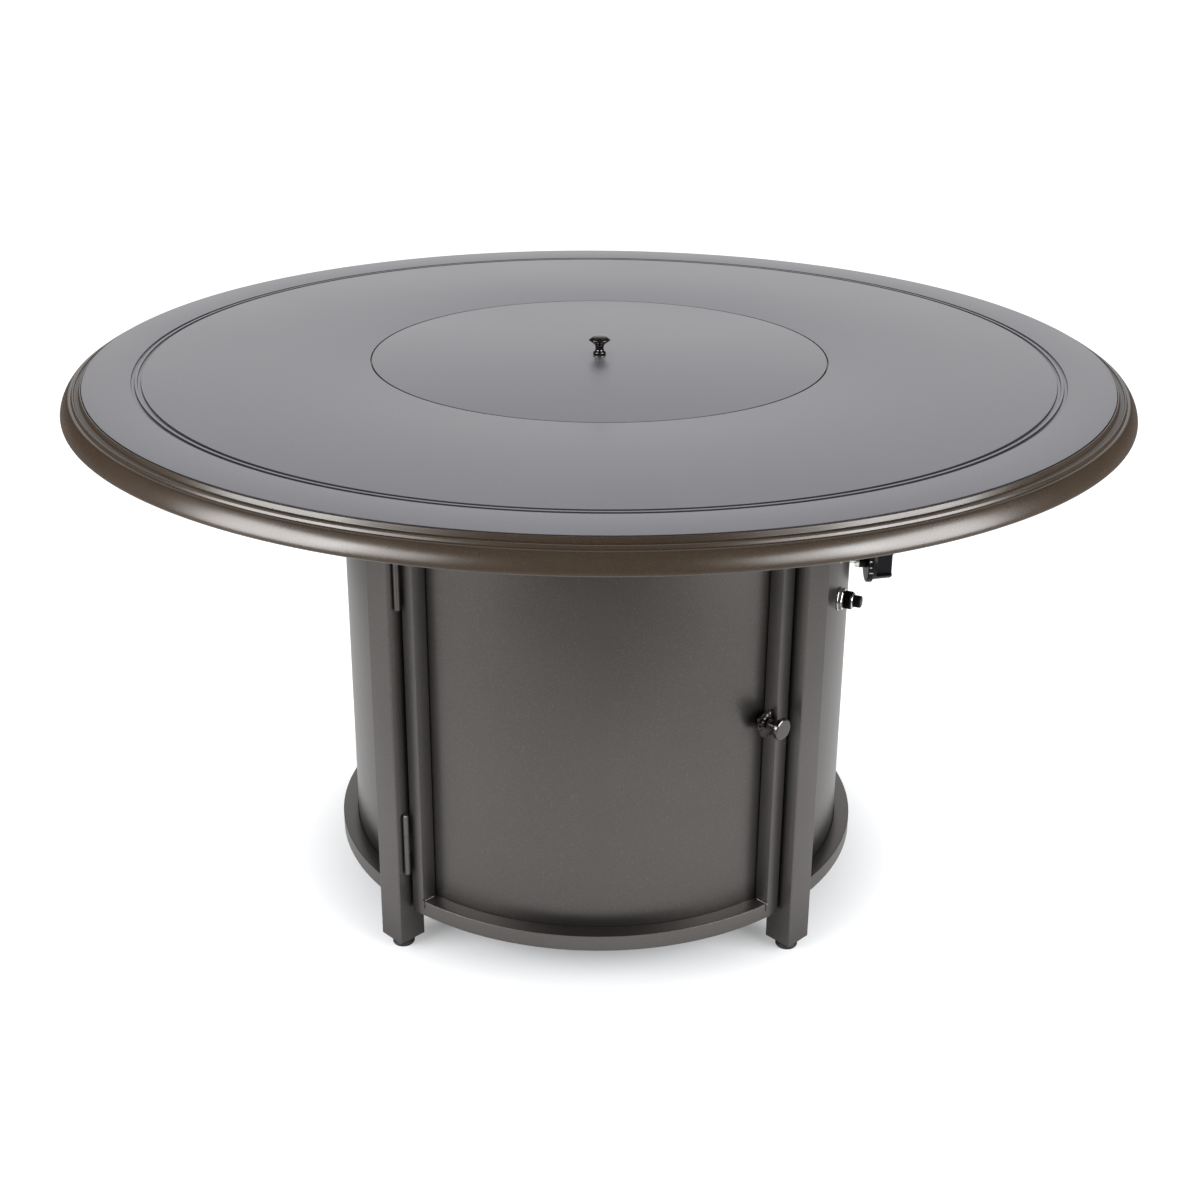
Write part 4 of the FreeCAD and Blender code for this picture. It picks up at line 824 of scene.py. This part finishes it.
fit(at_latch(latch_knob), "latch", "knob_metal", black_nickel, "latch_knob")
sleeve_bore = 4.1
sleeve_radius = 6.5
valley_radius = 5.9
rib_pitch = 2.2
sleeve_ribs = []
for rib in range(9):
    start = sleeve_inner + 2 + rib * rib_pitch
    sleeve_ribs += [(valley_radius, start, 0.2), (sleeve_radius, start + 0.3, 0.2),
                    (sleeve_radius, start + 1.3, 0.2), (valley_radius, start + 1.6, 0.2)]
latch_sleeve = turned("latch_ribbed_sleeve", rounded([
    (sleeve_bore, sleeve_outer, 0.3),
    (sleeve_bore, sleeve_inner),
    (sleeve_radius, sleeve_inner, 0.3),
    (sleeve_radius, sleeve_inner + 1.7, 0.3),
    *sleeve_ribs,
    (valley_radius, sleeve_outer, 0.4),
], 3), steps=96)
satin_nickel = plated("satin_black_nickel", "#413c3a", polish=0.26, smear=6)
fit(at_latch(latch_sleeve), "door", "knob_metal", satin_nickel, "latch_bracket")

# The rosette's section, as its thickness and radius. Its edge is fluted, its face has petals between the
# edge and the middle, and it is cut flat beside the stile.
rosette_back = stile_front - 8
rosette_bore = sleeve_radius + 0.05
rosette_flat = 6.4
flutes, flute_depth = 36, 0.35
petals, petal_depth = 18, 0.25
rosette_steps = 144
rosette_loops = []
for depth, reach in ((0, rosette_bore), (0, 16.4), (0.5, 17), (1.6, 17), (1.9, 15.6), (2.2, 13.2),
                     (2.6, 12.4), (3, 11.2), (3, rosette_bore)):
    rosette_loops.append([])
    for step in range(rosette_steps):
        turn = 2 * pi * step / rosette_steps
        edge = reach + (flute_depth * cos(flutes * turn) - flute_depth if reach > 15 else 0)
        dip = petal_depth + petal_depth * cos(petals * turn) if 12 < reach < 16 else 0
        rosette_loops[-1].append((edge * cos(turn), min(edge * sin(turn), rosette_flat),
                                  rosette_back + depth - dip))
rosette = skin("latch_rosette", rosette_loops, closed=True, sharp=25)
fit(at_latch(rosette), "door", "knob_metal", satin_nickel)
carry(zinc_plate, "latch_pawl", "latch_nut")
carry(gunmetal_coat, "latch_strike")

# Tank shelf
# A disc that the gas tank stands on, with a low ring welded on it that keeps the tank's foot in place.
# Hot-dip galvanised steel. It lies on a coated cross of square tube between the legs.


def galvanised(name, spangle):
    """Hot-dip zinc: grey metal in soft crystal patches."""
    material = bpy.data.materials.new(name)
    tree = new_tree(material)
    where = node(tree, "TexCoord").outputs["Object"]
    crystals = node(tree, "TexVoronoi", {"Vector": where, "Scale": 1 / (spangle * mm)})
    tone = node(tree, "RGBToBW", {"Color": crystals.outputs["Color"]})
    shade = node(tree, "Mix", {"Factor": tone.outputs[0], "A": colour("#8d9092"), "B": colour("#a9adaf")},
                 data_type="RGBA")
    rough = node(tree, "MapRange", {"Value": tone.outputs[0], "To Min": 0.32, "To Max": 0.5})
    shader = node(tree, "BsdfPrincipled", {"Base Color": shade.outputs["Result"], "Metallic": 1.0,
                                           "Roughness": rough.outputs[0]})
    node(tree, "OutputMaterial", {"Surface": shader.outputs[0]})
    return material


zinc_spangle = galvanised("galvanised_steel", spangle=9)
shelf_low, shelf_high = corners_of("tank_shelf")
shelf_radius = shelf_high.x
shelf_top = shelf_low.z + 2
tank_ring_outer = 112
tank_ring_inner = tank_ring_outer - 3
shelf = turned("tank_shelf_plate", rounded([
    (0, shelf_low.z),
    (shelf_radius, shelf_low.z, 0.6),
    (shelf_radius, shelf_top, 0.6),
    (tank_ring_outer, shelf_top, 1.5),
    (tank_ring_outer, shelf_high.z, 1.2),
    (tank_ring_inner, shelf_high.z, 1.2),
    (tank_ring_inner, shelf_top, 1.5),
    (0, shelf_top),
], 5), steps=192)
fit(shelf, "frame", "galvanised", zinc_spangle, "tank_shelf")
carry(gunmetal_coat, "shelf_cross")

# Burner
# A drawn stainless pan under the lid holds a ring of stainless tube with gas ports, four spokes and a
# hub, with a stainless heat shield on four posts. The electrode is a glazed ceramic rod beside it.


def brushed_steel(name, tint, grain, stroke):
    """Stainless steel with a drawn grain of one width and stroke, which spreads its reflections."""
    grain_depth = 0.02
    material = bpy.data.materials.new(name)
    tree = new_tree(material)
    where = node(tree, "TexCoord").outputs["Object"]
    along = node(tree, "Mapping", {"Vector": where,
                                   "Scale": (1 / (grain * mm), 1 / (stroke * mm), 1 / (grain * mm))})
    lines = node(tree, "TexNoise", {"Vector": along.outputs[0], "Scale": 1.0, "Detail": 2.0})
    rough = node(tree, "MapRange", {"Value": lines.outputs["Fac"], "To Min": 0.22, "To Max": 0.42})
    bump = node(tree, "Bump", {"Height": lines.outputs["Fac"], "Strength": 0.15,
                               "Distance": grain_depth * mm})
    shader = node(tree, "BsdfPrincipled", {"Base Color": colour(tint), "Metallic": 1.0,
                                           "Roughness": rough.outputs[0], "Normal": bump.outputs[0]})
    node(tree, "OutputMaterial", {"Surface": shader.outputs[0]})
    return material


# The real grain is under 0.1 mm wide; it is drawn as coarse as a picture can show.
stainless = brushed_steel("brushed_stainless", "#a8a6a2", grain=1.2, stroke=30)
carry(stainless, "burner_pan", "burner_ring", "heat_shield")

# Glazed ceramic: warm white and glossy, with faint specks.
ceramic = mottled("white_ceramic", "#e9e5dc", "#d8d2c6", patch=1.5, gloss=0.25)
carry(ceramic, "igniter_electrode")

# Gas parts
# The mixer under the burner, the tube down to the valve behind the knob, and the flare inlet that the
# tank's hose screws on. Machined brass, with the tube bent from bare drawn aluminium.

brass = plated("machined_brass", "#b39150", polish=0.3, smear=4)
aluminium = plated("drawn_aluminium", "#b4b6b8", polish=0.3, smear=5)
carry(brass, "air_mixer", "gas_valve", "inlet_fitting")
carry(aluminium, "gas_tube")

# Control bracket
# A bent strip behind the right panel that carries the valve on its tab, held by two pan-head screws
# through the panel. Pressed steel, zinc plated; the screws have a cross recess.

carry(zinc_plate, "valve_bracket")


def cross_screw(name, head_radius, head, shank_radius, shank):
    """A pan-head screw with a cross recess; its head stands on height 0."""
    turns = [2 * pi * step / 32 for step in range(32)]
    recess = [head_radius * (0.16 + 0.36 * abs(cos(turn)) ** 6 + 0.36 * abs(sin(turn)) ** 6)
              for turn in turns]
    rings = [(shank_radius * 0.6, -shank), (shank_radius, 0.8 - shank), (shank_radius, 0),
             (head_radius * 0.96, 0), (head_radius, head * 0.3), (head_radius * 0.94, head * 0.62),
             (head_radius * 0.76, head * 0.9), (head_radius * 0.6, head)]
    loops = [[(radius * cos(turn), radius * sin(turn), height) for turn in turns] for radius, height in rings]
    loops += [[(part * wide * cos(turn), part * wide * sin(turn), head - deep)
               for turn, wide in zip(turns, recess)] for part, deep in ((1, 0), (0.7, 1.1), (0.1, 1.2))]
    return skin(name, loops, sharp=35)


for side, azimuth in (("front", -screw_azimuth), ("rear", screw_azimuth)):
    screw = cross_screw("bracket_screw_" + side, head_radius=3.8, head=1.8, shank_radius=2, shank=9)
    fit(placed(screw, azimuth, panel_outer, 0, screw_height, lying=True), "frame", "zinc_steel", zinc_plate,
        *(["bracket_screws"] if side == "front" else []))

# Gas knob
# A knob with a round skirt and a grip bar, pressed on the valve's spindle, which turns in a plated
# washer. Compression-moulded phenolic: a deep black with faint flow marks in its gloss.

black_phenolic = bpy.data.materials.new("black_phenolic")
tree = new_tree(black_phenolic)
where = node(tree, "TexCoord").outputs["Object"]
flow = node(tree, "TexNoise", {"Vector": where, "Scale": 1 / (8 * mm), "Detail": 3.0})
tone = node(tree, "Mix", {"Factor": flow.outputs["Fac"], "A": colour("#08080a"), "B": colour("#101013")},
            data_type="RGBA")
gloss = node(tree, "MapRange", {"Value": flow.outputs["Fac"], "To Min": 0.32, "To Max": 0.42})
shader = node(tree, "BsdfPrincipled", {"Base Color": tone.outputs["Result"], "Roughness": gloss.outputs[0],
                                       "Specular IOR Level": 0.14})
node(tree, "OutputMaterial", {"Surface": shader.outputs[0]})

# Each loop's radius, its length along the spindle, and half the bar's width between its cheeks. The
# cheeks flare out towards the skirt's edge, and a loop that they don't reach stays round.
knob_back = corners_of("control_knob")[0].x
knob_steps = 192
cheek_run, cheek_flare = 12, 4
unreached = 99
skirt_radius = 26.9
knob_loops = []
for radius, along, half_bar in ((4, 9, unreached), (4, 0, unreached), (8.6, 0, unreached),
                                (9, 0.4, unreached), (9, 9, unreached), (26, 9, unreached),
                                (skirt_radius, 9.8, unreached), (skirt_radius, 15.2, unreached),
                                (26.2, 16, unreached), (24.4, 16, unreached), (24, 16.4, unreached),
                                (23.6, 19.6, unreached), (23.4, 20, unreached), (23.4, 20, 15),
                                (23.3, 20.3, 13.8), (23.1, 21.6, 13), (21.4, 38, 12.4), (21, 39.4, 11.6),
                                (20.2, 40, 10.6)):
    knob_loops.append([])
    for step in range(knob_steps):
        turn = 2 * pi * step / knob_steps
        up = radius * cos(turn)
        cheek = half_bar + max(0, abs(up) - cheek_run) * cheek_flare
        knob_loops[-1].append((up, max(-cheek, min(cheek, radius * sin(turn))), along))
gas_knob = skin("gas_knob_moulding", knob_loops, sharp=30)
fit(placed(gas_knob, 0, knob_back, 0, control_height, lying=True), "gas_knob", "black_plastic",
    black_phenolic, "control_knob")

# Pad-printed ink: a matt off-white, a little worn.
white_print = mottled("white_pad_print", "#a3a3a0", "#c4c4c1", patch=0.8, gloss=0.5)
marks = 12
first_mark, mark_step, half_mark = -75, 16, 1.4
mark_low, long_mark, short_mark = 10.4, 4.6, 2.6
ink_inner, ink_outer = skirt_radius - 0.1, skirt_radius + 0.05
for mark in range(marks):
    middle = first_mark - mark * mark_step
    mark_high = mark_low + (long_mark if mark % 3 == 0 else short_mark)
    tick = turned("gas_knob_mark_%d" % (mark + 1),
                  [(ink_inner, mark_low), (ink_outer, mark_low), (ink_outer, mark_high),
                   (ink_inner, mark_high)], middle - half_mark, middle + half_mark, steps=4)
    fit(placed(tick, 0, knob_back, 0, control_height, lying=True), "gas_knob", "black_plastic", white_print)
bright_nickel = plated("bright_nickel_plating", "#d6d5d1", polish=0.15, smear=5)
carry(bright_nickel, "valve_spindle")

# Igniter
# A push button in a knurled barrel, whose threaded body goes through the panel, with a washer-faced hex
# nut outside and a collar inside. Brass, plated bright, with the barrel in black chrome.


def at_igniter(piece, proud=0):
    """Stand a turned piece in the igniter's hole, with its lengths counted from the panel's face."""
    return placed(piece, igniter_azimuth, panel_outer + proud, 0, control_height, lying=True)


# Each loop's radius and length, and whether it is hexagonal. Its flats then lie at the first share of its
# radius, and its corners are cut round at the second share of the flats.
nut_steps = 96
flat_share, corner_share = 0.93, 1.12
nut_loops = []
for radius, along, hexed in ((9.7, 5.3, False), (9.7, 0, False), (13.7, 0, False), (14, 0.3, False),
                             (14, 0.7, False), (13.4, 1.0, False), (12.2, 1.0, True), (12.5, 1.3, True),
                             (12.6, 4.9, True), (12.2, 5.3, True)):
    nut_loops.append([])
    for step in range(nut_steps):
        turn = 2 * pi * step / nut_steps
        flat = 1 / cos((turn + pi / 6) % (pi / 3) - pi / 6)
        reach = radius * flat_share * min(flat, corner_share) if hexed else radius
        nut_loops[-1].append((reach * cos(turn), reach * sin(turn), along))
igniter_nut = skin("igniter_hex_nut", nut_loops, closed=True, sharp=25)
fit(at_igniter(igniter_nut, proud=0.1), "frame", "bright_steel", bright_nickel, "igniter_nut")

thread_crest, thread_root, thread_pitch = 9.5, 9.0, 1.5
thread_back = -22.4
collar_radius = 12.5
thread = []
for turn_of_thread in range(19):
    start = thread_back + turn_of_thread * thread_pitch
    thread += [(thread_crest, start), (thread_crest, start + 0.3),
               (thread_root, start + 0.75), (thread_root, start + 1.0)]
igniter_core = turned("igniter_core", [
    (0, -26),
    (9.2, -26),
    (thread_crest, -25.7),
    (thread_crest, -25),
    *[point for point in thread if point[1] < -5.3],
    (9.4, -5.2),
    (collar_radius - 0.3, -5.2),
    (collar_radius, -4.9),
    (collar_radius, -2.6),
    (collar_radius - 0.3, -2.3),
    (thread_crest, -2.2),
    *[point for point in thread if -2 < point[1] < 5],
    (thread_crest, 5.4),
    (thread_crest, 11.5),
    (7.4, 11.5),
    (7.4, 7.0),
    (0, 7.0),
], steps=96)
fit(at_igniter(igniter_core), "frame", "bright_steel", bright_nickel, "igniter_body")

# The knurl's ridges run along the barrel, between its two plain edges.
black_barrel = plated("black_chrome_barrel", "#26262a", polish=0.22, smear=4)
barrel_steps = 288
knurl_ridges = 48
knurl_depth = 0.3
barrel_loops = []
for radius, along in ((9.9, 15.6), (9.9, 5.6), (10, 5.6), (10.4, 6.0), (10.5, 6.6), (10.5, 14.6),
                      (10.4, 15.2), (10, 15.6)):
    barrel_loops.append([])
    for step in range(barrel_steps):
        turn = 2 * pi * step / barrel_steps
        knurled = 10.3 < radius and 6 < along < 15.2
        reach = radius - (knurl_depth * abs(sin(knurl_ridges / 2 * turn)) if knurled else knurl_depth)
        barrel_loops[-1].append((reach * cos(turn), reach * sin(turn), along))
igniter_barrel = skin("igniter_knurled_barrel", barrel_loops, closed=True, sharp=25)
fit(at_igniter(igniter_barrel), "frame", "bright_steel", black_barrel)

button_hole = 7.35
button_radius = 7.1
igniter_ring = turned("igniter_end_ring", rounded([
    (button_hole, 15.7, 0.2),
    (9.6, 15.7, 0.3),
    (9.6, 16.6, 0.6),
    (8.4, 17.4, 0.5),
    (button_hole, 17.4, 0.2),
], 4), steps=96)
fit(at_igniter(igniter_ring), "frame", "bright_steel", bright_nickel)
igniter_button = turned("igniter_push_button", rounded([
    (0, 11.6),
    (button_radius, 11.6, 0.3),
    (button_radius, 25.4, 0.9),
    (5.6, 26.2, 1.2),
    (0, 26.2),
], 5), steps=96)
fit(at_igniter(igniter_button), "button", "black_plastic", black_phenolic, "igniter_button")

# Igniter lead
# The high-voltage wire from the igniter up the panel's inside to the electrode, held by a clip on the
# panel. Copper in an extruded silicone sheath, dull and nearly black; the clip is zinc-plated steel.

silicone = mottled("silicone_sheath", "#2a2725", "#393533", patch=6, gloss=0.55)
carry(silicone, "igniter_lead")
carry(zinc_plate, "lead_clip")
